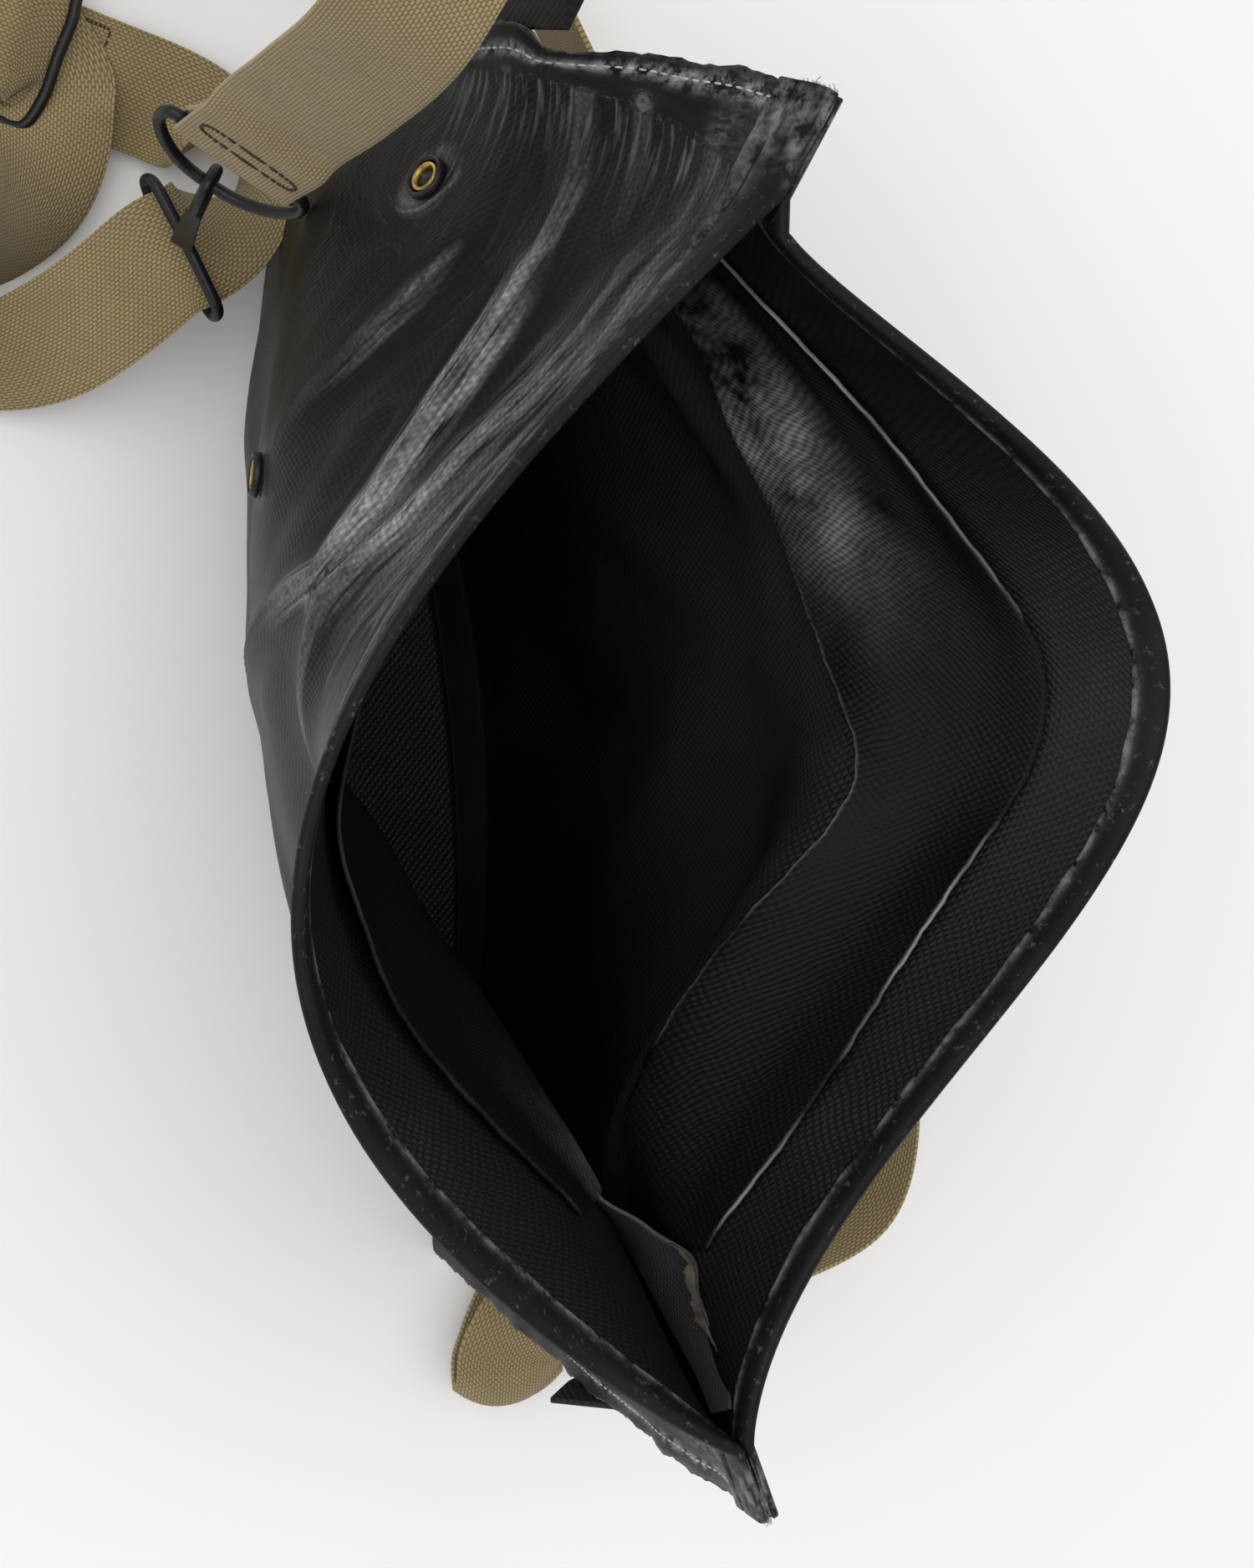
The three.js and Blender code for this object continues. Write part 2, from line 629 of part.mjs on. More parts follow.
// A cloth tab sewn into a side seam: two layers that grip the end of the web between them.
function tab(root, out, across) {
  const half = TAB_WALL + WEB_WALL / 2 + WEB_GAP;
  const slot = WEB_WALL / 2 + WEB_GAP;
  const mouth = TAB_LENGTH - TAB_GRIP;
  const profile = [
    [0, -TAB_WALL / 2],
    [mouth, -half],
    [TAB_LENGTH, -half],
    [TAB_LENGTH, -slot],
    [mouth, -slot],
    [mouth, slot],
    [TAB_LENGTH, slot],
    [TAB_LENGTH, half],
    [mouth, half],
    [0, TAB_WALL / 2],
  ];
  const shape = new THREE.Shape(profile.map(([x, y]) => new THREE.Vector2(x, y)));
  const geometry = new THREE.ExtrudeGeometry(shape, { depth: TAB_WIDTH, bevelEnabled: false });
  geometry.translate(0, 0, -TAB_WIDTH / 2);
  const face = across.clone().cross(out).normalize();
  geometry.applyMatrix4(new THREE.Matrix4().makeBasis(out, face, across).setPosition(root));
  return geometry;
}

// Where a tab is sewn in, the way out of the seam there and the way along the seam.
function tabSeat(finAcross, up) {
  const root = wallPoint(frontWall, finAcross, up);
  const out = root.clone().sub(wallPoint(frontWall, finAcross < 0 ? 0 : 1, up)).normalize();
  const across = wallPoint(frontWall, finAcross, up + SEAT_STEP);
  across.sub(wallPoint(frontWall, finAcross, up - SEAT_STEP)).normalize();
  root.addScaledVector(out, TAB_ROOT_GAP);
  out.addScaledVector(across, -out.dot(across)).normalize();
  return { root, out, across };
}

function gripRows(seat) {
  const start = TAB_LENGTH - TAB_GRIP + WEB_GAP;
  const reaches = [start, TAB_LENGTH - TAB_GRIP / 2, TAB_LENGTH + 2, TAB_LENGTH + GRIP_LEAD];
  return reaches.map((reach) => {
    const place = seat.root.clone().addScaledVector(seat.out, reach);
    return [...place.toArray(), ...seat.across.toArray()];
  });
}

addMesh('front_panel', panel(frontWall), rubberLook);
addMesh('rear_panel', panel(rearWall), rubberLook);
addMesh('base_panel', basePanel(), rubberLook);
addMesh('front_inner_band', innerBand(frontWall, FRONT_BAND), bandLook);
addMesh('rear_inner_band', innerBand(rearWall, REAR_BAND), bandLook);
STUD_ROWS.forEach((row, i) => addStud(row, i + 1));

const leftSeat = tabSeat(-1, LEFT_TAB_UP);
const rightSeat = tabSeat(2, RIGHT_TAB_UP);
rightSeat.out.copy(RIGHT_TAB_OUT).normalize();
rightSeat.across.copy(RIGHT_TAB_ACROSS);
rightSeat.across.addScaledVector(rightSeat.out, -rightSeat.across.dot(rightSeat.out)).normalize();
addMesh('left_tab', tab(leftSeat.root, leftSeat.out, leftSeat.across), rubberLook);
addMesh('right_tab', tab(rightSeat.root, rightSeat.out, rightSeat.across), rubberLook);

// The short strap hangs from the left tab and ends round the bar of its ring.
const ringAcross = RING_ACROSS.clone().normalize();
const lastRingRow = named(WEB_COLUMNS, RING_STRAP_ROWS[RING_STRAP_ROWS.length - 1]);
const ringAhead = RING_BAR.clone().sub(new THREE.Vector3(lastRingRow.x, lastRingRow.y, lastRingRow.z));
ringAhead.addScaledVector(ringAcross, -ringAhead.dot(ringAcross)).normalize();
const ringFace = ringAhead.clone().cross(ringAcross);
const ringEye = eyeRows(RING_BAR, ringAhead, ringFace, ringAcross);
const ringStrapRows = [...gripRows(leftSeat), ...RING_STRAP_ROWS, ...ringEye];
addMesh('ring_strap', webbing(ringStrapRows, RING_STRAP_STEPS), webLook);

// The ring hangs towards the hook: a straight bar closed by a round bow.
const hookUp = RING_BAR.clone().sub(HOOK_BASE).normalize();
const ringDown = hookUp.clone().negate();
ringDown.addScaledVector(ringAcross, -ringDown.dot(ringAcross)).normalize();
const ringPairs = RING_OUTLINE.map(([down, side]) => [down * RING_LENGTH, (side * RING_WIDTH) / 2]);
const ringWire = wireLoop(planePoints(RING_BAR, ringDown, ringAcross, ringPairs), WIRE, RING_STEPS);
addMesh('strap_ring', ringWire, blackMetalLook);

// The snap hook: a wire base whose ends turn round the web's edges, and a hook over the ring's bow.
const hookAcross = HOOK_ACROSS.clone().normalize();
const hookRise = hookUp.clone().addScaledVector(hookAcross, -hookUp.dot(hookAcross)).normalize();
const bow = RING_BAR.clone().addScaledVector(ringDown, RING_LENGTH);
const hookLength = bow.distanceTo(HOOK_BASE);
const hookAhead = bow.clone().sub(HOOK_BASE).normalize();
const hookSide = hookAhead.clone().cross(ringAcross).normalize();
const hookPoints = (rows) => planePoints(HOOK_BASE, hookAhead, hookSide, rows.map((row) => {
  const at = named(HOOK_COLUMNS, row);
  return [at.share * hookLength + at.beyond, at.side];
}));
const hookBody = joined(
  wireRun(planePoints(HOOK_BASE, hookAcross, hookRise, BASE_OUTLINE), WIRE, HOOK_STEPS),
  wireRun(hookPoints(HOOK_ROWS), WIRE, HOOK_STEPS),
);
addMesh('snap_hook', hookBody, blackMetalLook);

// The leaf gate springs from beside the shank to the inside of the hook's tip.
const gateSection = new THREE.Shape([[-1, -1], [1, -1], [1, 1], [-1, 1]].map(([a, b]) => (
  new THREE.Vector2((a * GATE_WALL) / 2, (b * GATE_WIDTH) / 2))));
const gatePath = new THREE.CatmullRomCurve3(hookPoints(GATE_ROWS));
const gateLeaf = new THREE.ExtrudeGeometry(gateSection, { steps: GATE_STEPS, extrudePath: gatePath });
addMesh('hook_gate', gateLeaf, blackMetalLook);

// The slide: a wire frame with a middle bar.
const slideAcross = SLIDE_ACROSS.clone().normalize();
const up = new THREE.Vector3(0, 0, 1);
const slideAlong = up.clone().cross(slideAcross).normalize();
const slideSide = SLIDE_WIDTH / 2;
const slidePairs = SLIDE_OUTLINE.map(([a, b]) => [(a * SLIDE_LENGTH) / 2, b * slideSide]);
const slideBar = planePoints(SLIDE_PLACE, slideAlong, slideAcross, [[0, -slideSide], [0, 0], [0, slideSide]]);
const slideBody = joined(
  wireLoop(planePoints(SLIDE_PLACE, slideAlong, slideAcross, slidePairs), WIRE, SLIDE_STEPS),
  wireRun(slideBar, WIRE, BAR_STEPS),
);
addMesh('strap_slide', slideBody, blackMetalLook);

// The shoulder strap: from its sewn end at the slide to the hook, back through the slide and round.
const slideRows = (pairs, across) => (
  planePoints(SLIDE_PLACE, slideAlong, up, pairs).map((p) => [...p.toArray(), ...across.toArray()]));
const shoulderRows = [
  ...slideRows(SLIDE_EYE, slideAcross),
  ...HOOK_LOOP_ROWS,
  ...slideRows(SLIDE_PASS, slideAcross.clone().negate()),
  ...ROUND_ROWS,
  ...gripRows(rightSeat).reverse(),
];
addMesh('shoulder_strap', webbing(shoulderRows, SHOULDER_STEPS), webLook);

export default group;
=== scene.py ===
import math
import random

import bmesh
import bpy
import numpy as np
from mathutils import Matrix, Vector


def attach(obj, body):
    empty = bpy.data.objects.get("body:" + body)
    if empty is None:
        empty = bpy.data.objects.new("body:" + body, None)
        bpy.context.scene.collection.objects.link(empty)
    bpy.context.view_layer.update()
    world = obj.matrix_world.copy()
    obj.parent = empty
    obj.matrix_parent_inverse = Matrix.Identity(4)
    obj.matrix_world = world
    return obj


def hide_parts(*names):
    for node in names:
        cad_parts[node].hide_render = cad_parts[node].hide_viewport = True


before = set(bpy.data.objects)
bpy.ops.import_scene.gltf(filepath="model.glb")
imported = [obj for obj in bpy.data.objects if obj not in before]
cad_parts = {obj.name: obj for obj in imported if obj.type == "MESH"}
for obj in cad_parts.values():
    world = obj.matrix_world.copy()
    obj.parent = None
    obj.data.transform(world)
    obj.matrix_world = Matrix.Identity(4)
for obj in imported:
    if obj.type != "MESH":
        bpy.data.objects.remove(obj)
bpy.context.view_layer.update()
mm = 0.001
print("frame loaded:", len(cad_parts), "nodes")

photoView = {
    "focal": 3500, "pictureHeight": 1875,  # pixels
    "sensor": 36, "place": (-94.7, -192.1, 799.0),  # millimetres
    "back": (-0.158, -0.3135, 0.936), "top": (-0.993, 0.118, 0.0),
    "clip": 0.01,
}


def addToScene(piece):
    bpy.context.scene.collection.objects.link(piece)


def setCamera(look):
    back = Vector(look["back"]).normalized()
    top = Vector(look["top"])
    top = (top - back * top.dot(back)).normalized()
    right = top.cross(back)
    data = bpy.data.cameras.new("photoCamera")
    data.sensor_fit = "VERTICAL"
    data.sensor_height = look["sensor"]
    data.lens = look["focal"] / look["pictureHeight"] * look["sensor"]
    data.clip_start = look["clip"]
    data.dof.use_dof = False
    camera = bpy.data.objects.new("photoCamera", data)
    turn = Matrix((right, top, back)).transposed().to_4x4()
    camera.matrix_world = Matrix.Translation(Vector(look["place"]) * mm) @ turn
    addToScene(camera)
    bpy.context.scene.camera = camera


setCamera(photoView)

bagShape = {  # millimetres, the same sections as the solids
    "width": 344, "height": 245, "wall": 1.5,
    "middle": 0.95,  # from the rows to the middle of the wall
    "finShare": 0.045,  # of the columns
    "seamStep": (0.697, 4.0),  # height share and size of the jog in the side seam
    "seams": [  # up, z, left x, y, fin x, y, then the same four for the right
        (0.00, 7.75, -157, 2, -7, 0, 159, 2, 7, 0),
        (0.27, 70, -157, 3, -7, 1, 158, 2, 7, 0),
        (0.52, 130, -154, 6, -7, 2, 156, 2, 7, 0),
        (0.70, 172, -148, 13, -8, 4, 155, 3, 8, 1),
        (0.84, 203, -135, 30, -12, 9, 151, 4, 12, 2),
        (1.00, 236, -114, 44, -19, 14, 147, 6, 17, 4),
    ],
    "heel": [  # up, drawn in, z, z at the fins
        (-1.0, 10, 1.75, 0.9), (-0.66, 6, 1.75, 2.6), (-0.33, 1.74, 3.49, 5.2), (0.0, 0, 7.75, 7.75),
    ],
}
wide, tall = bagShape["width"], bagShape["height"]
frontWall = {
    "sign": -1,
    "grain": [  # paths that the chalk follows, in thousandths across and up
        ((-1000, 800), (75, 785), (279, 797), (338, 775), (405, 552), (600, 300), (1800, 100)),
        ((-600, 950), (60, 903)),
        ((-400, 970), (1400, 970)),
        ((-400, 710), (119, 700)),
    ],
    "rows": [  # up, lift, out, skew, power, start, end
        (0.0, 0, 31, 1.0, 0.9, 0, 1),
        (0.27, 0, 45, 0.93, 0.85, 0, 1),
        (0.52, 0, 57, 0.85, 0.93, 0, 1),
        (0.72, 0, 64, 0.78, 2.3, 0, 1),
        (0.85, 3, 78, 0.95, 1.8, 0, 1),
        (1.0, 7, 100, 1.15, 0.85, 0, 1),
    ],
    "creases": [  # path as above, then height, width and sharpness
        (((75, 785), (123, 783), (164, 791), (220, 793), (279, 797), (338, 775),
          (405, 552), (440, 430)), 6.0, 8.0, 1.4),
        (((75, 751), (123, 737), (179, 732), (238, 733), (294, 716), (342, 657)), -5.5, 8.0, 1.7),
        (((60, 903), (101, 883), (145, 889), (190, 883), (238, 862), (290, 848),
          (353, 800), (420, 760), (500, 720)), 3.6, 6.0, 1.5),
        (((75, 868), (127, 832), (171, 826), (220, 820), (271, 820), (320, 805)), -2.4, 6.0, 1.7),
        (((119, 700), (156, 682), (186, 662), (208, 641), (238, 597), (271, 550)), 4.6, 8.0, 1.5),
        (((138, 720), (179, 704), (216, 678), (268, 645), (320, 597)), -2.6, 7.0, 1.7),
        (((145, 615), (171, 603), (201, 585), (231, 560)), 2.4, 7.0, 1.6),
        (((-563, 601), (19, 603), (45, 599), (71, 609)), 1.8, 4.5, 1.6),
        (((-107, 733), (30, 737), (71, 745), (108, 763)), -5.0, 4.5, 1.7),
        (((-70, 763), (23, 777), (53, 783), (82, 787)), 4.2, 4.5, 1.6),
        (((-285, 801), (16, 803), (53, 803)), -3.6, 4.5, 1.7),
        (((-340, 824), (16, 836), (53, 842), (86, 848)), 3.8, 5.0, 1.6),
        (((-211, 674), (27, 684), (60, 694)), 3.4, 4.5, 1.6),
        (((405, 700), (430, 620), (460, 540)), 2.2, 7.0, 1.7),
        (((200, 400), (320, 330), (460, 280)), -3.2, 16.0, 2.0),
        (((520, 180), (640, 260), (760, 370)), -3.2, 15.0, 2.0),
        (((550, 300), (680, 410), (840, 530)), 4.4, 12.0, 1.7),
        (((640, 520), (780, 600), (900, 680)), -3.2, 10.0, 1.9),
        (((600, 660), (760, 700), (920, 730)), 2.4, 9.0, 1.7),
        (((860, 740), (930, 720), (1000, 710)), 1.8, 6.0, 1.7),
        (((160, 100), (260, 220), (300, 340)), 2.4, 12.0, 1.8),
        (((420, 60), (470, 200), (460, 340)), 2.0, 12.0, 1.8),
        (((800, 80), (860, 220), (930, 340)), 2.2, 10.0, 1.8),
    ],
}
rearWall = {
    "sign": 1,
    "grain": [  # paths that the chalk follows, in thousandths across and up
        ((-1000, 800), (200, 780), (500, 700), (800, 800), (2000, 850)),
        ((-400, 970), (1400, 970)),
    ],
    "rows": [  # up, lift, out, skew, power, start, end
        (0.0, 0, 33, 1.0, 0.9, 0, 1),
        (0.27, 0, 50, 1.0, 0.65, 0, 1),
        (0.52, 0, 60, 1.0, 0.8, 0, 1),
        (0.72, 0, 63, 1.15, 1.45, 0, 0.77),
        (0.85, -6, 80, 0.93, 1.6, 0.015, 0.88),
        (1.0, -15, 103, 0.71, 1.8, 0.03, 1),
    ],
    "creases": [  # path as above, then height, width and sharpness
        (((160, 300), (260, 460), (360, 620)), 4.6, 13.0, 1.7),
        (((300, 200), (380, 380), (460, 560)), -3.6, 14.0, 1.9),
        (((580, 580), (700, 480), (820, 360)), 4.6, 13.0, 1.7),
        (((480, 460), (590, 340), (700, 200)), -3.6, 14.0, 1.9),
        (((80, 620), (180, 660), (300, 665), (420, 640)), 3.2, 9.0, 1.6),
        (((100, 560), (220, 600), (340, 600)), -2.6, 9.0, 1.8),
        (((560, 680), (680, 660), (800, 610), (920, 600)), 3.0, 9.0, 1.6),
        (((600, 620), (720, 600), (840, 550)), -2.4, 9.0, 1.8),
        (((20, 700), (70, 690), (130, 660)), 1.8, 5.0, 1.6),
        (((10, 780), (60, 775), (120, 790)), 1.8, 5.5, 1.6),
        (((900, 700), (950, 690), (1000, 700)), 1.8, 5.5, 1.6),
        (((100, 80), (160, 200), (180, 320)), 2.2, 11.0, 1.8),
        (((500, 50), (520, 160), (500, 280)), 2.4, 13.0, 1.8),
        (((840, 60), (820, 200), (860, 320)), 2.2, 11.0, 1.8),
    ],
}


def cubicAt(rows, t):
    table = np.array(rows, float)
    knots, values = table[:, 0], table[:, 1:]
    last = len(knots) - 1
    after = np.clip(np.searchsorted(knots, t, side="right"), 1, last)
    before = after - 1
    t0, t1 = knots[before], knots[after]
    atStart, atEnd = before == 0, after == last
    prev = np.where(atStart, after, before - 1)
    following = np.where(atEnd, before, np.minimum(after + 1, last))
    half = (t1 - t0) / 2
    wPrev = half / np.where(atStart, t0 - t1, t0 - knots[prev])
    wNext = half / np.where(atEnd, t0 - t1, knots[following] - t1)
    p = (t - t0) / (t1 - t0)
    sPrev = -wPrev * p**3 + 2 * wPrev * p**2 - wPrev * p
    s0 = (1 + wPrev) * p**3 + (-1.5 - 2 * wPrev) * p**2 + (-0.5 + wPrev) * p + 1
    s1 = (-1 - wNext) * p**3 + (1.5 + wNext) * p**2 + 0.5 * p
    sNext = wNext * p**3 - wNext * p**2
    return (sPrev[:, None] * values[prev] + s0[:, None] * values[before]
            + s1[:, None] * values[after] + sNext[:, None] * values[following]).T


def distanceTo(path, across, up):
    spots = np.array(path) / 1000 * (wide, tall)
    here = np.stack([across * wide, up * tall], axis=1)
    lengths = np.linalg.norm(np.diff(spots, axis=0), axis=1)
    best = np.full(len(across), 1e9)
    along = np.zeros(len(across))
    for i, length in enumerate(lengths):
        way = (spots[i + 1] - spots[i]) / length
        t = np.clip((here - spots[i]) @ way, 0, length)
        off = np.linalg.norm(here - spots[i] - t[:, None] * way, axis=1)
        nearer = off < best
        best = np.where(nearer, off, best)
        along = np.where(nearer, (lengths[:i].sum() + t) / lengths.sum(), along)
    return best, along


def creaseHeight(wall, across, up, side=0):
    total = np.zeros(len(across))
    for path, height, width, sharp in wall["creases"]:
        if height * side < 0:
            continue
        off, along = distanceTo(path, across, up)
        fade = np.sin(np.pi * (0.1 + 0.8 * along))
        reach = width * (0.55 if side else 1)
        total += height * fade * np.exp(-((off / reach) ** sharp))
    return total


def wallPlace(wall, across, up, creased=True):
    above = np.clip(up, 0, 1)
    z, *seams = cubicAt(bagShape["seams"], above)
    leftX, leftY, leftFinX, leftFinY, rightX, rightY, rightFinX, rightFinY = seams
    lift, out, skew, power, start, end = cubicAt(wall["rows"], above)
    heel = np.array(bagShape["heel"])
    under = np.clip(up, -1, 0)
    inset, heelZ, finZ = (np.interp(under, heel[:, 0], heel[:, i]) for i in (1, 2, 3))
    t = np.clip(across, 0, 1)
    chordX, chordY = rightX - leftX, rightY - leftY
    size = np.hypot(chordX, chordY)
    outX, outY = -chordY / size * wall["sign"], chordX / size * wall["sign"]
    share = np.clip((t - start) / (end - start), 0, 1)
    swell = np.maximum(0, np.sin(np.pi * share**skew)) ** power
    fold = creaseHeight(wall, across, up) * np.clip(4 * swell + 0.1, 0, 1) * (up > 0) if creased else 0
    rise = (out - inset) * swell + fold
    leftFin, rightFin = np.maximum(0, -across), np.maximum(0, across - 1)
    wave = finWave(across, up) if creased else 0
    x = leftX + chordX * t + outX * rise + leftFinX * leftFin + rightFinX * rightFin
    y = leftY + chordY * t + outY * rise + leftFinY * leftFin + rightFinY * rightFin
    x += wave * (leftFin * leftFinY / 10 - rightFin * rightFinY / 10)
    y += wave * (rightFin - leftFin)
    step = bagShape["seamStep"]
    x -= leftFin * step[1] * np.tanh((step[0] - up) * 80) * bell(up, step[0], 0.13) * creased
    low = finZ + (heelZ - finZ) * np.clip(3 * swell, 0, 1)
    return np.stack([x, y, np.where(up < 0, low, z + lift * swell)], axis=1)


def finWave(across, up):
    left = np.sin(up * 31) * 0.5 + np.sin(up * 67 + 1) * 0.25
    right = np.sin(up * 27 + 2) * 0.7 + np.sin(up * 71) * 0.35
    return np.where(across < 0.5, left, right) * np.clip((up - 0.05) * 8, 0, 1)


def wallFrame(wall, across, up, step=0.004):
    place = wallPlace(wall, across, up)
    right = wallPlace(wall, across + step, up) - wallPlace(wall, across - step, up)
    above = np.minimum(up + step, 1)
    top = wallPlace(wall, across, above) - wallPlace(wall, across, above - 2 * step)
    right /= np.linalg.norm(right, axis=1)[:, None]
    top /= np.linalg.norm(top, axis=1)[:, None]
    normal = np.cross(right, top) * -wall["sign"]
    normal /= np.linalg.norm(normal, axis=1)[:, None]
    return place, normal, top


def gridVerts(columns, rows):
    bm = bmesh.new()
    bmesh.ops.create_grid(bm, x_segments=columns, y_segments=rows, size=1)
    bm.verts.ensure_lookup_table()
    spots = np.array([v.co[:2] for v in bm.verts])
    return bm, (spots[:, 0] + 1) / 2, (spots[:, 1] + 1) / 2


def flatSize(places, s, r):
    order = np.lexsort((s, r))
    net = places[order].reshape(len(np.unique(np.round(r, 5))), -1, 3) * mm
    long = np.linalg.norm(np.diff(net, axis=1), axis=2).sum(axis=1).mean()
    broad = np.linalg.norm(np.diff(net, axis=0), axis=2).sum(axis=0).mean()
    return float(broad), float(long)


def putVerts(bm, places):
    for v, p in zip(bm.verts, places * mm):
        v.co = p


def putUv(bm, u, v):
    layer = bm.loops.layers.uv.new("cloth")
    for face in bm.faces:
        for loop in face.loops:
            i = loop.vert.index
            loop[layer].uv = (u[i] * mm, v[i] * mm)


def finishPiece(name, bm, materials, replaced=(), values=None):
    mesh = bpy.data.meshes.new(name)
    bm.to_mesh(mesh)
    bm.free()
    for key, array in (values or {}).items():
        data = mesh.attributes.new(key, "FLOAT", "POINT").data
        data.foreach_set("value", np.asarray(array, np.float32))
    mesh.polygons.foreach_set("use_smooth", [True] * len(mesh.polygons))
    for material in materials:
        mesh.materials.append(material)
    piece = bpy.data.objects.new(name, mesh)
    addToScene(piece)
    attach(piece, "root")
    if replaced:
        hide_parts(*replaced)
    return piece


def thicken(piece, thickness, insideOffset=0):
    solid = piece.modifiers.new("thickness", "SOLIDIFY")
    solid.thickness = thickness * mm
    solid.offset = 0
    solid.use_even_offset = False
    solid.material_offset = insideOffset


def roundEdges(piece, width, angle=30):
    soft = piece.modifiers.new("edges", "BEVEL")
    soft.width = width * mm
    soft.segments = 2
    soft.limit_method = "ANGLE"
    soft.angle_limit = math.radians(angle)


def newMaterial(name):
    material = bpy.data.materials.new(name)
    material.use_nodes = True
    return material, material.node_tree, material.node_tree.nodes["Principled BSDF"]


def feed(tree, socket, value):
    if isinstance(value, bpy.types.NodeSocket):
        tree.links.new(value, socket)
    else:
        socket.default_value = value


def put(tree, kind, inputs=None, **settings):
    node = tree.nodes.new(kind)
    for key, value in settings.items():
        setattr(node, key, value)
    for key, value in (inputs or {}).items():
        feed(tree, node.inputs[key], value)
    return node


def work(tree, operation, a, b=0.0, clamp=False):
    return put(tree, "ShaderNodeMath", {0: a, 1: b}, operation=operation, use_clamp=clamp).outputs[0]


def times(tree, a, b, clamp=False):
    return work(tree, "MULTIPLY", a, b, clamp)


def timesPlus(tree, value, factor, plus):
    return put(tree, "ShaderNodeMath", {0: value, 1: factor, 2: plus}, operation="MULTIPLY_ADD").outputs[0]


def blendColor(tree, factor, a, b):
    node = put(tree, "ShaderNodeMix", {0: factor}, data_type="RGBA")
    for key, color in ((6, a), (7, b)):
        feed(tree, node.inputs[key], (*color, 1) if isinstance(color, tuple) else color)
    return node.outputs[2]


def ramp(tree, value, low, high):
    return put(tree, "ShaderNodeMapRange", {0: value, 1: low, 2: high}, clamp=True).outputs[0]


def noise(tree, place, scale, detail=3, rough=0.55):
    inputs = {"Vector": place, "Scale": scale, "Detail": detail, "Roughness": rough}
    return put(tree, "ShaderNodeTexNoise", inputs).outputs[0]


def objectPlace(tree):
    return tree.nodes.new("ShaderNodeTexCoord").outputs["Object"]


def clothPlace(tree):
    return put(tree, "ShaderNodeUVMap", uv_map="cloth").outputs[0]


def attribute(tree, name):
    return put(tree, "ShaderNodeAttribute", attribute_name=name).outputs["Fac"]


def splitXY(tree, place):
    return put(tree, "ShaderNodeSeparateXYZ", {0: place}).outputs[:2]


def pair(tree, first, firstTimes, second, secondTimes):
    x, y = times(tree, first, firstTimes), times(tree, second, secondTimes)
    return put(tree, "ShaderNodeCombineXYZ", {0: x, 1: y}).outputs[0]


def sine(tree, value, pitch):
    return work(tree, "SINE", times(tree, value, 2 * math.pi / pitch))


def uneven(tree, place, scale, size):
    drift = put(tree, "ShaderNodeTexNoise", {"Vector": place, "Scale": scale, "Detail": 2.0}).outputs[1]
    inputs = {0: drift, 1: (size, size, 0), 2: place}
    return put(tree, "ShaderNodeVectorMath", inputs, operation="MULTIPLY_ADD").outputs[0]


def dotWeave(tree, place, pitch):
    x, y = splitXY(tree, uneven(tree, place, 90.0, 0.0035))
    return timesPlus(tree, times(tree, sine(tree, x, pitch), sine(tree, y, pitch)), 0.5, 0.5)


def diamondMesh(tree, place, pitch):
    x, y = splitXY(tree, uneven(tree, place, 70.0, 0.003))
    one, two = (sine(tree, work(tree, way, x, y), pitch * 2) for way in ("ADD", "SUBTRACT"))
    return times(tree, work(tree, "ABSOLUTE", one), work(tree, "ABSOLUTE", two))


def addBump(tree, shader, height, distance, strength=1.0, under=None):
    inputs = {"Height": height, "Distance": distance, "Strength": strength}
    if under:
        inputs["Normal"] = under
    out = put(tree, "ShaderNodeBump", inputs).outputs[0]
    tree.links.new(out, shader.inputs["Normal"])
    return out


def setSurface(tree, shader, color, rough, gloss=0.5):
    for key, value in (("Base Color", color), ("Roughness", rough), ("Specular IOR Level", gloss)):
        feed(tree, shader.inputs[key], value)


rubberFinish = {
    # bloomAndPaintedLight is the chalk colour; its mask also lays painted shade into the crease valleys
    "dark": (0.0055, 0.0055, 0.006), "brown": (0.0115, 0.0095, 0.0065), "bloomAndPaintedLight": (0.37, 0.37, 0.365),
    # paintedLightInside: lighter colour laid on the inner walls below the bands, painted light on the wall
    # below the band
    "inside": (0.0058, 0.0058, 0.006), "paintedLightInside": (0.024, 0.024, 0.0245), "dust": (0.22, 0.22, 0.22),
    "dotPitch": 0.0022, "meshPitch": 0.0023,
}


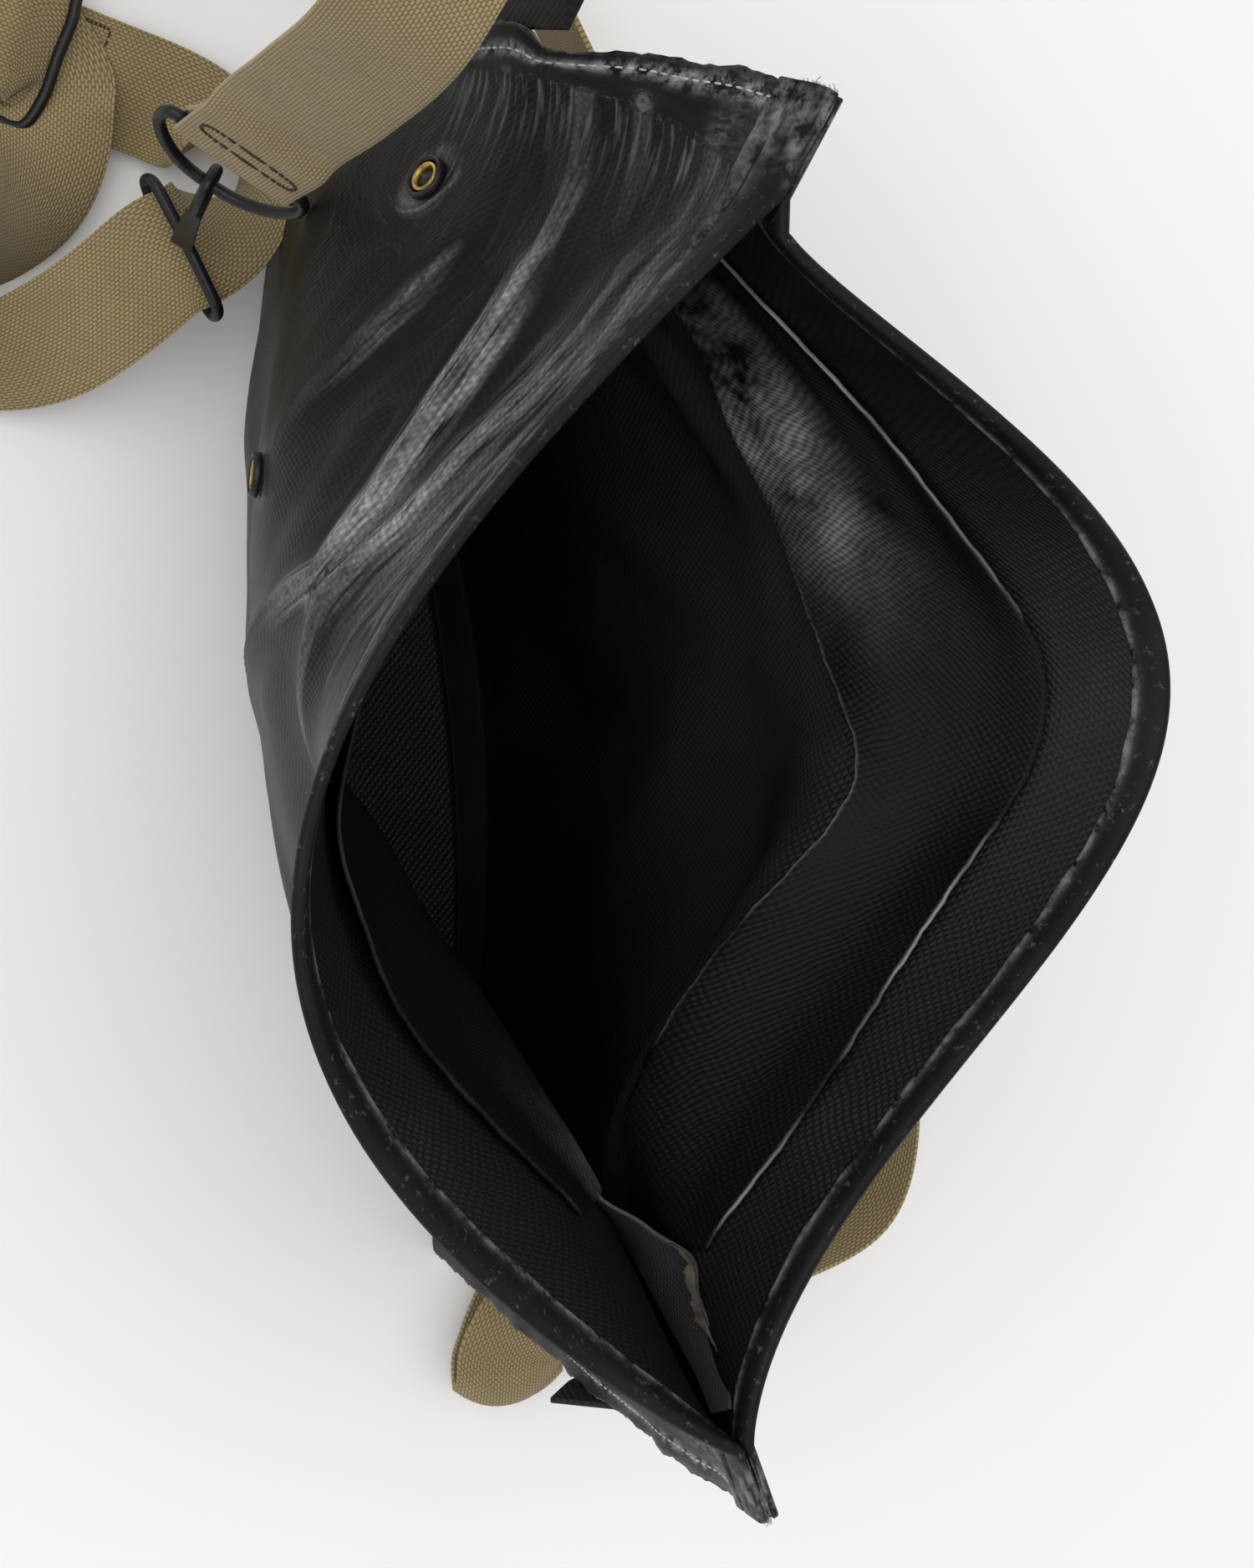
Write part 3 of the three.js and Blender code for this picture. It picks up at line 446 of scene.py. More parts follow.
def rubberOutside(look):
    material, tree, shader = newMaterial("rubberOutside")
    place, cloth = objectPlace(tree), clothPlace(tree)
    run, rise = splitXY(tree, cloth)
    fold = attribute(tree, "fold")
    broad = noise(tree, pair(tree, run, 9.0, fold, 0.10), 1.0, 4, 0.6)
    streak = noise(tree, pair(tree, run, 34.0, fold, 0.42), 1.0, 3, 0.6)
    fibre = noise(tree, pair(tree, run, 95.0, fold, 1.3), 1.0, 3, 0.65)
    hair = noise(tree, pair(tree, run, 55.0, rise, 640.0), 1.0, 3, 0.6)
    speck = noise(tree, place, 700, 3, 0.6)
    weave = dotWeave(tree, cloth, look["dotPitch"])
    patchy = timesPlus(tree, ramp(tree, noise(tree, place, 16), 0.42, 0.60), 0.6, 0.4)
    # the chalk mask also carries painted shade: it is cut back in the crease valleys
    chalkAndPaintedLight = times(tree, ramp(tree, attribute(tree, "bloomAndPaintedLight"), 0.25, 0.95), ramp(tree, streak, 0.36, 0.66))
    chalkAndPaintedLight = times(tree, chalkAndPaintedLight, timesPlus(tree, ramp(tree, fibre, 0.34, 0.64), 0.5, 0.5))
    dust = times(tree, ramp(tree, fibre, 0.50, 0.72), ramp(tree, streak, 0.44, 0.66))
    chalkAndPaintedLight = times(tree, work(tree, "ADD", times(tree, chalkAndPaintedLight, 1.55), times(tree, dust, 0.12)), patchy)
    grain = timesPlus(tree, ramp(tree, speck, 0.3, 0.62), 0.4, 0.6)
    chalkAndPaintedLight = times(tree, chalkAndPaintedLight, times(tree, timesPlus(tree, weave, 0.45, 0.55), grain), True)
    fuzz = times(tree, attribute(tree, "seam"), ramp(tree, noise(tree, place, 240, 4, 0.7), 0.42, 0.62))
    scratch = times(tree, times(tree, ramp(tree, hair, 0.50, 0.70), patchy), attribute(tree, "scratch"))
    chalkAndPaintedLight = work(tree, "MAXIMUM", chalkAndPaintedLight, work(tree, "MAXIMUM", fuzz, scratch))
    base = blendColor(tree, ramp(tree, broad, 0.44, 0.64), look["dark"], look["brown"])
    color = blendColor(tree, chalkAndPaintedLight, base, look["bloomAndPaintedLight"])
    setSurface(tree, shader, color, timesPlus(tree, chalkAndPaintedLight, 0.35, 0.42), 0.11)
    fine = addBump(tree, shader, noise(tree, place, 420), 0.00025, 0.5)
    addBump(tree, shader, weave, 0.0003, 0.4, fine)
    return material


def rubberInside(look):
    material, tree, shader = newMaterial("rubberInside")
    place, cloth = objectPlace(tree), clothPlace(tree)
    cells = diamondMesh(tree, cloth, look["meshPitch"])
    dust = times(tree, ramp(tree, noise(tree, place, 26, 5), 0.5, 0.8), ramp(tree, cells, 0.3, 0.8))
    # painted light: the inner walls are lightened below the bands, most on the rear wall
    base = blendColor(tree, attribute(tree, "paintedLightInside"), look["inside"], look["paintedLightInside"])
    setSurface(tree, shader, blendColor(tree, times(tree, dust, 0.10), base, look["dust"]), 0.45, 0.16)
    fine = addBump(tree, shader, noise(tree, place, 500), 0.0002, 0.5)
    addBump(tree, shader, cells, 0.0004, 0.4, fine)
    return material


bandFinish = {
    # the sleeve colour is a lighter copy of the band rubber: painted light on the corner sleeve, which lies
    # in shade
    "band": (0.0045, 0.0045, 0.0048), "paintedLightSleeve": (0.038, 0.038, 0.038), "chalkAndPaintedLight": (0.42, 0.42, 0.42),
    "edge": (0.40, 0.40, 0.38), "dotPitch": 0.0021,
}


def bandRubber(name, dark, look):
    material, tree, shader = newMaterial(name)
    place = objectPlace(tree)
    weave = dotWeave(tree, clothPlace(tree), look["dotPitch"])
    patch = ramp(tree, noise(tree, place, 34, 4, 0.65), 0.36, 0.66)
    # partly chalk, partly painted sheen: the pale dotted patch stands in for the band's glossy sheen as
    # well as its chalk
    chalkAndPaintedLight = times(tree, attribute(tree, "bloomAndPaintedLight"), times(tree, patch, timesPlus(tree, weave, 0.9, 0.25)))
    color = blendColor(tree, times(tree, chalkAndPaintedLight, 0.95, True), dark, look["chalkAndPaintedLight"])
    # painted highlight: the pale line along the band's cut edges stands in for light catching the edge; the
    # noise breaks it up
    worn = ramp(tree, noise(tree, place, 22), 0.42, 0.6)
    edge = times(tree, work(tree, "POWER", attribute(tree, "edge"), 3.0), worn)
    setSurface(tree, shader, blendColor(tree, times(tree, edge, 0.7), color, look["edge"]), 0.42, 0.09)
    fine = addBump(tree, shader, noise(tree, place, 400), 0.0002, 0.5)
    addBump(tree, shader, weave, 0.0004, 0.45, fine)
    return material


hemFinish = {
    "dark": (0.006, 0.006, 0.0063), "stain": (0.012, 0.012, 0.012), "speck": (0.2, 0.2, 0.2),
    "fuzz": (0.26, 0.26, 0.255),
}


def hemRubber(look):
    material, tree, shader = newMaterial("hemRubber")
    place = objectPlace(tree)
    color = blendColor(tree, ramp(tree, noise(tree, place, 30, 4), 0.4, 0.7), look["dark"], look["stain"])
    speck = ramp(tree, noise(tree, place, 420, 4, 0.7), 0.60, 0.72)
    color = blendColor(tree, times(tree, speck, 0.35), color, look["speck"])
    fuzz = times(tree, attribute(tree, "edge"), ramp(tree, noise(tree, place, 160, 4, 0.7), 0.40, 0.62))
    setSurface(tree, shader, blendColor(tree, fuzz, color, look["fuzz"]), 0.5, 0.12)
    addBump(tree, shader, noise(tree, place, 520, 4, 0.65), 0.0003, 0.6)
    return material


webFinish = {
    "yarn": (0.315, 0.243, 0.122), "pale": (0.385, 0.30, 0.155), "gap": (0.145, 0.107, 0.048),
    "warp": 0.0009, "weft": 0.0016,
}


def webbingCloth(look):
    material, tree, shader = newMaterial("webbingCloth")
    place = objectPlace(tree)
    x, y = splitXY(tree, clothPlace(tree))
    column = work(tree, "FLOOR", work(tree, "DIVIDE", x, look["warp"]))
    shifted = timesPlus(tree, column, look["weft"] / 2, y)
    rib = work(tree, "ABSOLUTE", sine(tree, x, look["warp"] * 2))
    loop = work(tree, "ABSOLUTE", sine(tree, shifted, look["weft"] * 2))
    yarn = times(tree, rib, loop)
    base = blendColor(tree, ramp(tree, noise(tree, place, 38, 4), 0.35, 0.7), look["yarn"], look["pale"])
    setSurface(tree, shader, blendColor(tree, ramp(tree, yarn, 0.05, 0.55), look["gap"], base), 0.92, 0.2)
    shader.inputs["Sheen Weight"].default_value = 0.15
    fuzz = addBump(tree, shader, noise(tree, place, 900), 0.0002, 0.5)
    addBump(tree, shader, yarn, 0.0004, 0.7, fuzz)
    return material


threadFinish = {
    "canvas": (0.075, 0.06, 0.045), "pale": (0.55, 0.54, 0.50), "dark": (0.055, 0.042, 0.024),
    "canvasDim": 0.12,
}


def threadCloth(name, color, dim=0.6):
    material, tree, shader = newMaterial(name)
    place = objectPlace(tree)
    twist = put(tree, "ShaderNodeTexWave", {"Vector": place, "Scale": 900.0, "Distortion": 2.0}).outputs[1]
    shade = tuple(c * dim for c in color)
    tint = blendColor(tree, ramp(tree, noise(tree, place, 300), 0.3, 0.7), shade, color)
    setSurface(tree, shader, tint, 0.85)
    addBump(tree, shader, twist, 0.0001, 0.6)
    return material


metalFinish = {
    "enamel": (0.009, 0.009, 0.0095), "wornEnamel": (0.07, 0.065, 0.06),
    "brass": (0.62, 0.42, 0.13), "dullBrass": (0.20, 0.13, 0.05),
}


def blackEnamel(look):
    material, tree, shader = newMaterial("blackEnamel")
    place = objectPlace(tree)
    worn = times(tree, ramp(tree, noise(tree, place, 130, 5, 0.7), 0.62, 0.74), 0.35)
    rough = timesPlus(tree, ramp(tree, noise(tree, place, 60), 0.2, 0.8), 0.25, 0.28)
    setSurface(tree, shader, blendColor(tree, worn, look["enamel"], look["wornEnamel"]), rough, 0.3)
    addBump(tree, shader, noise(tree, place, 350, 4), 0.00015, 0.5)
    return material


def wornBrass(look):
    material, tree, shader = newMaterial("wornBrass")
    place = objectPlace(tree)
    dull = ramp(tree, noise(tree, place, 240, 5, 0.7), 0.4, 0.65)
    color = blendColor(tree, dull, look["brass"], look["dullBrass"])
    setSurface(tree, shader, color, timesPlus(tree, dull, 0.3, 0.25))
    shader.inputs["Metallic"].default_value = 1.0
    addBump(tree, shader, noise(tree, place, 500), 0.0001, 0.5)
    return material


outsideLook, insideLook = rubberOutside(rubberFinish), rubberInside(rubberFinish)
bandLook = bandRubber("bandRubber", bandFinish["band"], bandFinish)
# painted light: the corner sleeve gets a lighter copy of the band rubber
sleevePaintedLightLook = bandRubber("sleeveRubberPaintedLight", bandFinish["paintedLightSleeve"], bandFinish)
hemLook, webLook = hemRubber(hemFinish), webbingCloth(webFinish)
canvasLook = threadCloth("tornCanvas", threadFinish["canvas"], threadFinish["canvasDim"])
paleThread, darkThread = (threadCloth(key + "Thread", threadFinish[key]) for key in ("pale", "dark"))
enamelLook, brassLook = blackEnamel(metalFinish), wornBrass(metalFinish)
print("materials made")

panelMake = {
    "columns": 220, "rows": 150,
    "seamEdge": 4.6,  # from the raw edge to the stitches
    "heelShare": 0.07,  # of the rows
    "lowest": 0.9,
    "studs": [(0.078, 0.62), (0.284, 0.51), (0.716, 0.51), (0.922, 0.54)],  # across, up
}


def panelAcross(s):
    edge = bagShape["finShare"]
    q = np.clip((s - edge) / (1 - 2 * edge), 0, 1)
    inner = q - 0.4 * np.sin(2 * np.pi * q) / (2 * np.pi)
    return np.where(s < edge, s / edge - 1, np.where(s > 1 - edge, 1 + (s - 1 + edge) / edge, inner))


def onFin(across):
    return np.clip(np.maximum(-across, across - 1), 0, 1)


def bell(value, middle, width):
    return np.exp(-(((value - middle) / width) ** 2))


def stitchShare(across, up):
    heights = [0, 0.52, 0.70, 0.84, 1]
    left = np.interp(up, heights, [7, 7.3, 8.9, 15, 23.6])
    right = np.interp(up, heights, [7, 7, 8.1, 12.2, 17.5])
    return 1 - panelMake["seamEdge"] / np.where(across < 0.5, left, right)


def rubbedPlacesAndValleyShade(wall, across, up):
    fin = onFin(across)
    ridge = np.clip(creaseHeight(wall, across, up, 1) / 3, 0, 1) * np.clip((up - 0.60) / 0.14, 0.3, 1)
    # painted shade: the chalk is cut back by up to 80 % in the crease valleys so that they read darker
    paintedValleyShade = np.clip(-creaseHeight(wall, across, up, -1) / 3, 0, 1) * (1 - ridge)
    topEnd = (fin > 0.1) * np.clip((up - 0.72) * 6, 0, 1) * (across > 0.5)
    rawEdge = 0.8 * (bell(fin, 1, 0.10) + 0.9 * topEnd)
    hemLine = 0.6 * bell((1 - up) * tall, 20, 6) * np.clip((0.8 - across) * 4, 0.2, 1)
    corner = 0.5 * np.clip((up - 0.84) / 0.12, 0, 1) * np.clip((0.14 - across) / 0.1, 0, 1)
    rubbed = 0.5 * np.clip((up - 0.79) / 0.04, 0, 1) * np.clip((0.75 - across) / 0.25, 0, 1)
    rubbed *= np.clip(across * 6, 0.4, 1) * (across > 0.02)
    worn = [ridge, rawEdge, hemLine, corner, rubbed]
    if wall["sign"] < 0:
        for studAcross, studUp in panelMake["studs"]:
            far = np.hypot((across - studAcross) * wide, (up - studUp) * tall)
            worn.append(0.55 * bell(far, 6.5, 3.5))
    return np.clip(np.max(worn, axis=0) * (1 - 0.8 * paintedValleyShade), 0, 1)


def foldDistance(wall, across, up):
    ridges = [path for path, height, *_ in wall["creases"] if height > 0]
    return np.min([distanceTo(path, across, up)[0] for path in (*wall["grain"], *ridges)], axis=0)


# painted light: share of the lighter inside colour, in a strip below the bands, full on the rear wall and
# 0.3 on the front
def paintedLightInsideShare(wall, up):
    share = np.clip((0.76 - up) * 12, 0, 1) * np.clip((up - 0.2) * 5, 0, 1)
    return share * (1 if wall["sign"] > 0 else 0.3)


def seamScratch(across, up):
    inward = np.minimum(across, 1 - across) * wide
    return 0.6 * bell(inward, 0, 15) * np.clip((up - 0.5) * 5, 0, 1) * (inward >= 0)


def seamChalk(across, up):
    fin = onFin(across)
    return bell(fin, stitchShare(across, up), 0.13) * (fin > 0) * np.clip((up - 0.45) * 6, 0.2, 1)


def makePanel(name, wall, node, look):
    bm, s, r = gridVerts(look["columns"], look["rows"])
    across = panelAcross(s)
    up = np.interp(r, [0, look["heelShare"], 1], [-1, 0, 1])
    place, normal, _ = wallFrame(wall, across, up)
    place += normal * bagShape["middle"]
    fin = onFin(across)
    ragged = np.sin(up * 211) * 0.2 + np.sin(up * 97 + 2) * 0.3 + np.sin(up * 391) * 0.15
    place[:, 0] += np.where(fin > 0.9, ragged * np.sign(across - 0.5), 0)
    press = 0.35 * bell(fin, stitchShare(across, up), 0.14) * (fin > 0)
    place -= normal * press[:, None]
    place[:, 2] = np.maximum(place[:, 2], look["lowest"])
    putVerts(bm, place)
    putUv(bm, across * wide, up * tall)
    if wall["sign"] > 0:
        bmesh.ops.reverse_faces(bm, faces=bm.faces)
    values = {
        "bloomAndPaintedLight": rubbedPlacesAndValleyShade(wall, across, up), "seam": seamChalk(across, up), "paintedLightInside": paintedLightInsideShare(wall, up),
        "fold": foldDistance(wall, across, up), "scratch": seamScratch(across, up),
    }
    piece = finishPiece(name, bm, [outsideLook, insideLook], [node], values)
    thicken(piece, bagShape["wall"], 1)
    return piece


frontPanel = makePanel("frontPanel", frontWall, "front_panel", panelMake)
rearPanel = makePanel("rearPanel", rearWall, "rear_panel", panelMake)
print("panels made")

bottomMake = {"columns": 90, "rows": 16, "thick": 1.5, "inset": 0.012, "gap": 0.35, "lift": 0.05}


def makeBottom(look):
    bm, s, r = gridVerts(look["columns"], look["rows"])
    across = look["inset"] + (1 - 2 * look["inset"]) * s
    up = np.full(len(s), -1.0)
    front = wallPlace(frontWall, across, up, False)
    rear = wallPlace(rearWall, across, up, False)
    place = front + (rear - front) * r[:, None]
    gap = np.minimum(look["gap"], np.abs(rear[:, 1] - front[:, 1]) / 4)
    place[:, 1] += gap * np.where(r < 0.01, 1, np.where(r > 0.99, -1, 0))
    place[:, 2] = look["thick"] / 2 + look["lift"]
    putVerts(bm, place)
    putUv(bm, place[:, 0], place[:, 1])
    piece = finishPiece("bottomPanel", bm, [insideLook], ["base_panel"])
    thicken(piece, look["thick"])
    return piece, flatSize(place, s, r)


bottomPanel, bottomFlat = makeBottom(bottomMake)

hemMake = {  # folded over the mouth
    "columns": 230, "thick": 0.55,
    "section": [  # down the wall, off its middle, paleness: from the inside over the rim to the outside
        (7.0, -0.95, 1.0), (6.3, -1.15, 0.6), (5.4, -1.15, 0.1), (4.6, -0.95, 0.0), (3.6, -1.2, 0.0),
        (1.6, -1.25, 0.0), (0.4, -1.15, 0.0), (-0.35, -0.75, 0.0), (-0.6, 0.0, 0.0), (-0.35, 0.75, 0.0),
        (0.4, 1.15, 0.0), (1.6, 1.25, 0.0), (4.2, 1.3, 0.0), (7.4, 1.25, 0.1), (8.3, 1.2, 0.25),
        (8.9, 0.7, 0.0), (9.6, 1.2, 0.35), (11.8, 1.25, 0.3), (12.8, 1.2, 0.4), (13.5, 0.75, 0.1),
    ],
}


def makeHem(name, wall):
    section = np.array(hemMake["section"])
    bm, s, r = gridVerts(hemMake["columns"], len(section) - 1)
    across = panelAcross(s)
    row = np.rint(r * (len(section) - 1)).astype(int)
    down, off, pale = section[row].T
    fin = onFin(across)
    off = np.where(off < 0, off * (1 - np.clip(fin * 12, 0, 1)), off)
    up = 1 - np.maximum(down, 0) / tall
    place, normal, top = wallFrame(wall, across, up)
    wander = 0.25 * np.sin(across * 47) + 0.2 * np.sin(across * 113 + 1)
    edgeRow = (row == 0) | (row == len(section) - 1)
    place += normal * (bagShape["middle"] + off)[:, None]
    place -= top * (np.minimum(down, 0) + np.where(edgeRow, wander, 0))[:, None]
    putVerts(bm, place)
    putUv(bm, across * wide, down)
    if wall["sign"] > 0:
        bmesh.ops.reverse_faces(bm, faces=bm.faces)
    frayed = 0.75 * np.clip(fin * 2.2, 0, 1) * np.clip(np.sin(across * 9 + row * 1.7) + 0.7, 0, 1)
    piece = finishPiece(name, bm, [hemLook], (), {"edge": np.maximum(pale, frayed)})
    thicken(piece, hemMake["thick"])
    return piece


frontHem = makeHem("frontHem", frontWall)
rearHem = makeHem("rearHem", rearWall)
print("hems made")

bandMake = {  # inside the mouth
    "columns": 170, "rows": 30, "thick": 0.9, "glue": 1.15, "stand": 2.6, "wave": 0.8,
    "front": {
        # chalkAndSheenAt, in both bands: where across the band its patch of chalk and painted sheen sits
        "chalkAndSheenAt": 0.9, "pale": 0.4,
        "low": [(0.10, 0.72), (0.40, 0.735), (0.60, 0.715), (0.82, 0.735)],  # across, up
        "high": [(0.10, 0.88), (0.45, 0.885), (0.70, 0.89), (0.82, 0.87)],
    },
    "rear": {
        # pale, in both bands: strength of the painted highlight along the cut edges
        "chalkAndSheenAt": 0.25, "pale": 0.95,
        "low": [
            (0.09, 0.77), (0.18, 0.743), (0.26, 0.70), (0.33, 0.68), (0.44, 0.705), (0.526, 0.765),
            (0.64, 0.75), (0.75, 0.745), (0.86, 0.75),
        ],
        "high": [
            (0.09, 0.845), (0.155, 0.86), (0.26, 0.862), (0.34, 0.878), (0.40, 0.897), (0.48, 0.90),
            (0.565, 0.888), (0.65, 0.888), (0.73, 0.90), (0.80, 0.897), (0.86, 0.878),
        ],
    },
}


def makeBand(name, wall, edges, node):
    bm, s, r = gridVerts(bandMake["columns"], bandMake["rows"])
    first, last = edges["low"][0][0], edges["low"][-1][0]
    across = first + (last - first) * s
    low, high = cubicAt(edges["low"], across)[0], cubicAt(edges["high"], across)[0]
    edge = np.abs(2 * r - 1)
    ragged = 0.0004 * np.sin(across * 420) + 0.0007 * np.sin(across * 177 + 1)
    up = low + (high - low) * r + ragged * (edge > 0.97)
    place, normal, _ = wallFrame(wall, across, up)
    free = np.sin(np.pi * s) ** 0.6
    ripple = np.sin(across * 46 + np.where(r > 0.5, 0, 1.7)) * 0.7 + np.sin(across * 23 + 0.6) * 0.7
    stand = bandMake["glue"] + edge**2 * free * (bandMake["stand"] + bandMake["wave"] * ripple)
    pleat = bell(across, 0.27, 0.13) * np.clip((1 - edge) * 4, 0, 1)
    stand += pleat * (0.8 + 0.8 * np.sin(r * 17 + across * 9))
    # chalk and painted sheen: a pale patch on the lower part of the band, real chalk together with a
    # painted sheen
    bloomAndPaintedLight = bell(across, edges["chalkAndSheenAt"], 0.10) * np.clip((0.72 - r) / 0.4, 0, 1)
    place += normal * (bagShape["middle"] - bagShape["wall"] / 2 - np.maximum(stand, 0.7))[:, None]
    putVerts(bm, place)
    putUv(bm, across * wide, up * tall)
    if wall["sign"] > 0:
        bmesh.ops.reverse_faces(bm, faces=bm.faces)
    # edge: painted highlight along the band's cut edges
    values = {"edge": edges["pale"] * np.clip((edge - 0.95) / 0.05, 0, 1), "bloomAndPaintedLight": bloomAndPaintedLight}
    piece = finishPiece(name, bm, [bandLook], [node], values)
    thicken(piece, bandMake["thick"])
    return piece, flatSize(place, s, r)


frontBand, frontBandFlat = makeBand("frontInnerBand", frontWall, bandMake["front"], "front_inner_band")
rearBand, rearBandFlat = makeBand("rearInnerBand", rearWall, bandMake["rear"], "rear_inner_band")
print("bands made")


def smoothCurve(points, steps, uniform=False):
    p = np.array(points, float)
    p = np.vstack([2 * p[0] - p[1], p, 2 * p[-1] - p[-2]])
    out = []
    for i in range(1, len(p) - 2):
        x0, x1, x2, x3 = p[i - 1], p[i], p[i + 1], p[i + 2]
        if uniform:
            m1, m2 = (x2 - x0) / 2, (x3 - x1) / 2
        else:
            gaps = (x1 - x0, x2 - x1, x3 - x2)
            d0, d1, d2 = (max(np.linalg.norm(gap) ** 0.5, 1e-4) for gap in gaps)
            m1 = ((x1 - x0) / d0 - (x2 - x0) / (d0 + d1) + (x2 - x1) / d1) * d1
            m2 = ((x2 - x1) / d1 - (x3 - x1) / (d1 + d2) + (x3 - x2) / d2) * d1
        t = (np.arange(steps) / steps)[:, None]
        out.append(x1 + m1 * t + (3 * (x2 - x1) - 2 * m1 - m2) * t**2 + (2 * (x1 - x2) + m1 + m2) * t**3)
    return np.vstack([*out, p[-2][None]])


sleeveMake = {  # joins the two bands across the far corner, with a torn canvas edge
    "columns": 60, "rows": 14, "thick": 0.8, "flat": (90, 28),
    "high": [(84, -15, 187), (97.8, -7.6, 198), (104.9, 0.4, 204), (112.4, 8.2, 209), (119.4, 7.6, 213),
             (127.5, 8.2, 217.5), (134, 8.4, 224), (140.5, 6.3, 229)],
    "low": [(84, -13, 172), (97, -8, 176), (104, -4, 179), (112, 0, 183), (122, 2.6, 190), (130, 4.0, 200),
            (138, 5, 212), (143.5, 4.2, 222)],
    "tornFrom": 0.49, "tornTo": 0.84, "tornWidth": 3.4, "tornThick": 0.7, "tornColumns": 120,
}


def runLengths(run):
    return np.concatenate([[0], np.cumsum(np.linalg.norm(np.diff(run, axis=0), axis=1))])


def spotsAt(at, lengths, run):
    return np.stack([np.interp(at, lengths, run[:, i]) for i in range(3)], axis=1)


def evenCurve(points, count):
    run = smoothCurve(points, 12)
    lengths = runLengths(run)
    return spotsAt(np.linspace(0, lengths[-1], count), lengths, run)


def makeSleeve(look):
    high, low = (evenCurve(look[side], look["columns"] + 1) for side in ("high", "low"))
    bm, s, r = gridVerts(look["columns"], look["rows"])
    i = np.rint(s * look["columns"]).astype(int)
    place = low[i] + (high[i] - low[i]) * r[:, None]
    sag = np.sin(np.pi * r) * 1.2 + 0.5 * r * np.sin(s * 31)
    place[:, 1] -= sag * (1 - 0.8 * s)
    putVerts(bm, place)
    putUv(bm, s * look["flat"][0], r * look["flat"][1])
    # painted highlight along the sleeve's top edge, with a faint patch of chalk and painted sheen
    values = {"edge": 0.35 * np.clip((r - 0.94) / 0.06, 0, 1), "bloomAndPaintedLight": 0.12 * bell(s, 0.3, 0.2)}
    piece = finishPiece("cornerSleeve", bm, [sleevePaintedLightLook], (), values)
    thicken(piece, look["thick"])
    return piece, flatSize(place, s, r)


def makeTorn(look):
    count = look["tornColumns"]
    high = evenCurve(look["high"], count + 1)[int(count * look["tornFrom"]):int(count * look["tornTo"])]
    last = len(high) - 1
    bm, s, r = gridVerts(last, 5)
    i = np.rint(s * last).astype(int)
    tear = 0.7 + 0.2 * np.sin(s * 19) + 0.12 * np.sin(s * 43 + 1) + 0.06 * np.sin(s * 97)
    width = look["tornWidth"] * np.sin(np.pi * np.clip(s, 0.02, 0.98)) ** 0.7 * tear
    drop = [-0.25 - 0.1 * np.sin(s * 23), -0.75 + 0.2 * np.sin(s * 17), -0.6 + 0.2 * np.sin(s * 29)]
    place = high[i] + np.stack(drop, axis=1) * (width * r)[:, None] + (0, -0.7, 0.5)
    putVerts(bm, place)
    putUv(bm, s * 40, r * 4)
    piece = finishPiece("tornEdge", bm, [canvasLook], ())
    thicken(piece, look["tornThick"])
    return piece


cornerSleeve, sleeveFlat = makeSleeve(sleeveMake)
tornEdge = makeTorn(sleeveMake)

webMake = {
    "width": 32, "thick": 1.55, "across": 12, "spacing": 2.2, "round": 0.5, "roundFrom": 60,
    "tongue": (213, 16, 8), "tongueReach": 15,  # the loop by the right tab
    "tonguePull": 8,  # how far its edges draw back
}


def webCourse(rows):
    rows = np.array(rows, float)
    middle = smoothCurve(rows[:, :3], 12)
    ways = smoothCurve(rows[:, 3:], 12, True)
    lengths = runLengths(middle)
    at = np.linspace(0, lengths[-1], int(lengths[-1] / webMake["spacing"]) + 1)
    even, way = spotsAt(at, lengths, middle), spotsAt(at, lengths, ways)
    tangent = np.gradient(even, axis=0)
    tangent /= np.linalg.norm(tangent, axis=1)[:, None]
    way -= tangent * np.sum(way * tangent, axis=1)[:, None]
    way /= np.linalg.norm(way, axis=1)[:, None]
    return even, way, np.cross(tangent, way), lengths[-1]


def makeWeb(name, rows, node):
    middle, way, _, length = webCourse(rows)
    last = len(middle) - 1
    bm, s, r = gridVerts(last, webMake["across"])
    i = np.rint(s * last).astype(int)
    edge = np.abs(2 * r - 1)
    w = (2 * r - 1) * webMake["width"] / 2
    wobble = 0.35 * np.sin(i * webMake["spacing"] / 23 + len(name)) * edge
    place = middle[i] + way[i] * (w + wobble)[:, None]
    near = bell(np.linalg.norm(middle[i] - webMake["tongue"], axis=1), 0, webMake["tongueReach"])
    place[:, 0] -= near * webMake["tonguePull"] * edge**2.2
    putVerts(bm, place)
    putUv(bm, w, s * length)
    bmesh.ops.recalc_face_normals(bm, faces=bm.faces)
    piece = finishPiece(name, bm, [webLook], [node])
    thicken(piece, webMake["thick"])
    roundEdges(piece, webMake["round"], webMake["roundFrom"])
    return piece, length


def planePoints(origin, first, second, pairs):
    return [np.array(origin) + np.array(first) * a + np.array(second) * b for a, b in pairs]


def unit(v):
    v = np.array(v, float)
    return v / np.linalg.norm(v)


def withWay(points, way):
    return [(*p, *way) for p in points]


tabMake = {
    "width": 35, "gap": 1.9, "length": 27, "grip": 18, "wall": 1.4, "lead": 9, "slot": 1.1, "root": 0.7,
    "round": 0.35, "bloomAndPaintedLight": 0.35,
    "leftAt": (-1.0, 0.67), "rightAt": (2.0, 0.61),  # across, up
    "rightOut": (0.10, 0.75, -0.65), "rightAcross": (0, -0.65, -0.75),
}


def tabSeat(finAcross, up, step=0.03):
    spots = np.array([finAcross, 0.0 if finAcross < 0 else 1.0, finAcross, finAcross])
    root, inner, above, below = wallPlace(frontWall, spots, np.array([up, up, up + step, up - step]), False)
    out, across = unit(root - inner), unit(above - below)
    root = root + out * tabMake["gap"]
    return {"root": root, "out": unit(out - across * out.dot(across)), "across": across}


